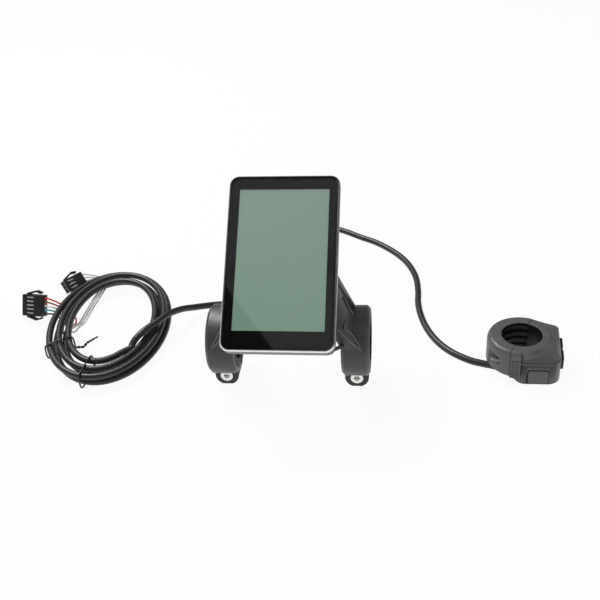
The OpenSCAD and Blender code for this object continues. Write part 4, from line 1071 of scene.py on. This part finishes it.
# Fine ribs on each arm's outer face, half sunk in it; the left arm has their mirror image. Their
# lighter plastic is a painted highlight along the ridges
armRibs = {
    "radius": 0.45, "steps": 6, "samples": 26, "lift": (0.24, -0.12, 0.14),
    "lines": [
        [(30.53, -3.21, 30.11), (31.78, -3.82, 27.07), (33.29, -4.38, 23.66),
         (35.04, -4.58, 19.98)],
        [(28.24, -19.76, 21.18), (29.91, -19.44, 18.13), (31.87, -19.11, 15.39),
         (33.85, -18.8, 12.95), (35.83, -18.32, 10.39), (37.81, -17.86, 7.93),
         (39.9, -18.15, 6.44)],
        [(32.27, -13.98, 21.94), (31.44, -17.33, 21.41), (31.7, -18.26, 19.85),
         (33.39, -17.37, 17.67), (35.31, -16.5, 14.89), (36.8, -16.4, 11.81),
         (38.08, -16.86, 9.36), (39.39, -17.89, 7.22)]],
}


def armRibPiece(name, side):
    lines = []
    for places in armRibs["lines"]:
        lifted = [Vector(place) + Vector(armRibs["lift"]) for place in places]
        sided = [Vector((side * p.x, p.y, p.z)) for p in lifted]
        lines.append(inMetres(curveThrough(sided, armRibs["steps"])))
    mesh = grownAlong(name, lines, ribTree, "paintedHighlightPlastic", {
        "Samples": armRibs["samples"], "Radius": armRibs["radius"] * mm})
    smoothFaces(mesh, 50)
    return keepMaterials(name, mesh)


armRibPiece("rightArmRibs", 1)
armRibPiece("leftArmRibs", -1)

# The pinch screws' hexagon sockets, in millimetres from a screw's middle; the faces inside them get
# a dark brownish plastic, painted shade
socketSizes = {"radius": 1.9, "front": -6.6, "back": -4.4}


def inSocket(face):
    across = math.hypot(face.center.x, face.center.z)
    return across < socketSizes["radius"] * mm and face.center.y < socketSizes["back"] * mm \
        and (face.normal.y > -0.5 or face.center.y > socketSizes["front"] * mm)


repeatedPiece("pinch_screws", "chromePlate", shade="socketPaintedShade", test=inSocket)

# Remote: the faces round its bore get a near-black plastic, painted shade, and its block has fine
# upright ridges
remoteSizes = {
    "axis": (126.4, 14.3), "boreRadius": 11.1, "ribDepth": 0.6, "height": 21.3, "inBore": 0.3,
    "blockRadius": 18.7, "ridgeRadius": 0.4, "ridgeLow": 5, "ridgeHigh": 16.4,
    "ridgeSides": 12, "ridges": 7, "firstTurn": 247.6, "turnStep": 2.35,
    # Where the housing's back corner fills out, and where its belt's edge is rounded
    "crownFrom": 15.9, "crownTop": 21.2, "crownFall": 0.034, "crownTurns": (-20, 18),
    "crownEnd": (44, 66), "crownShare": 0.9, "crownRadii": (16, 17.5),
    "beltEdge": 13.9, "beltDrop": 1.0, "beltBand": 0.45, "beltRight": 16,
    "modeShare": 0.95,  # of the opening: leaves the dark groove over the button and on its left
}


def aroundBore(face):
    x, y = (c / mm - a for c, a in zip(face.center, remoteSizes["axis"]))
    sizes = remoteSizes
    top = tableHeight + sizes["height"] - sizes["inBore"]
    return math.hypot(x, y) < sizes["boreRadius"] + sizes["ribDepth"] + sizes["inBore"] \
        and face.center.z / mm < top


for nodeName in ("remote_clamp_half", "remote_bushing", "remote_housing"):
    shadeFaces(easedPiece(nodeName, "remotePlastic", "remote", smooth=40), "borePaintedShade",
               aroundBore)


def fillHousing(mesh, sizes):
    for vert in mesh.vertices:
        x, y = (c / mm - a for c, a in zip(vert.co, sizes["axis"]))
        z = vert.co.z / mm - tableHeight
        radius, turn = math.hypot(x, y), math.degrees(math.atan2(y, x))
        if z > sizes["crownFrom"]:
            inner, outer = sizes["crownRadii"]
            share = sizes["crownShare"] * easeStep(radius, inner, outer) \
                * easeStep(turn, *sizes["crownTurns"]) * (1 - easeStep(turn, *sizes["crownEnd"]))
            crown = sizes["crownTop"] - sizes["crownFall"] * (radius - inner) ** 2
            vert.co.z += max(crown - z, 0) * share * mm
        elif x < sizes["beltRight"] and y < 0:
            near = max(1 - abs(z - sizes["beltEdge"]) / sizes["beltBand"], 0)
            vert.co.z -= sizes["beltDrop"] * near * mm


fillHousing(bpy.data.objects["remoteHousing"].data, remoteSizes)


def ridgeItem(sizes):
    work = bmesh.new()
    radius, low, high = (sizes[key] for key in ("ridgeRadius", "ridgeLow", "ridgeHigh"))
    bmesh.ops.create_cone(work, cap_ends=True, segments=sizes["ridgeSides"],
                          radius1=radius * mm, radius2=radius * mm, depth=(high - low) * mm)
    bmesh.ops.translate(work, verts=work.verts,
                        vec=Vector((sizes["blockRadius"], 0, (high + low) / 2)) * mm)
    return meshFrom("blockRidge", work)


ridgeAxis = Vector((*remoteSizes["axis"], tableHeight)) * mm
ridgeMesh = repeated("blockRidges", ridgeItem(remoteSizes), [ridgeAxis] * remoteSizes["ridges"],
                     "remotePlastic", None, math.radians(remoteSizes["firstTurn"]),
                     math.radians(remoteSizes["turnStep"]))
smoothFaces(ridgeMesh, 40)
keepMaterials("blockRidges", ridgeMesh)
easedPiece("remote_base", "baseplatePlastic", "base")
for nodeName in ("up_button", "down_button"):
    easedPiece(nodeName, "blackRubber", "button", nodeName)
modeButton = easedPiece("mode_button", "remotePlastic", "button", "mode_button")
modeLow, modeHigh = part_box("mode_button")
for vert in modeButton.data.vertices:
    for axis, fixed in ((0, modeHigh[0]), (2, modeLow[2])):
        vert.co[axis] = fixed + (vert.co[axis] - fixed) * remoteSizes["modeShare"]
for nodeName in ("plug_a", "plug_b"):
    easedPiece(nodeName, "plugNylon", "plug")
print("solid pieces finished")
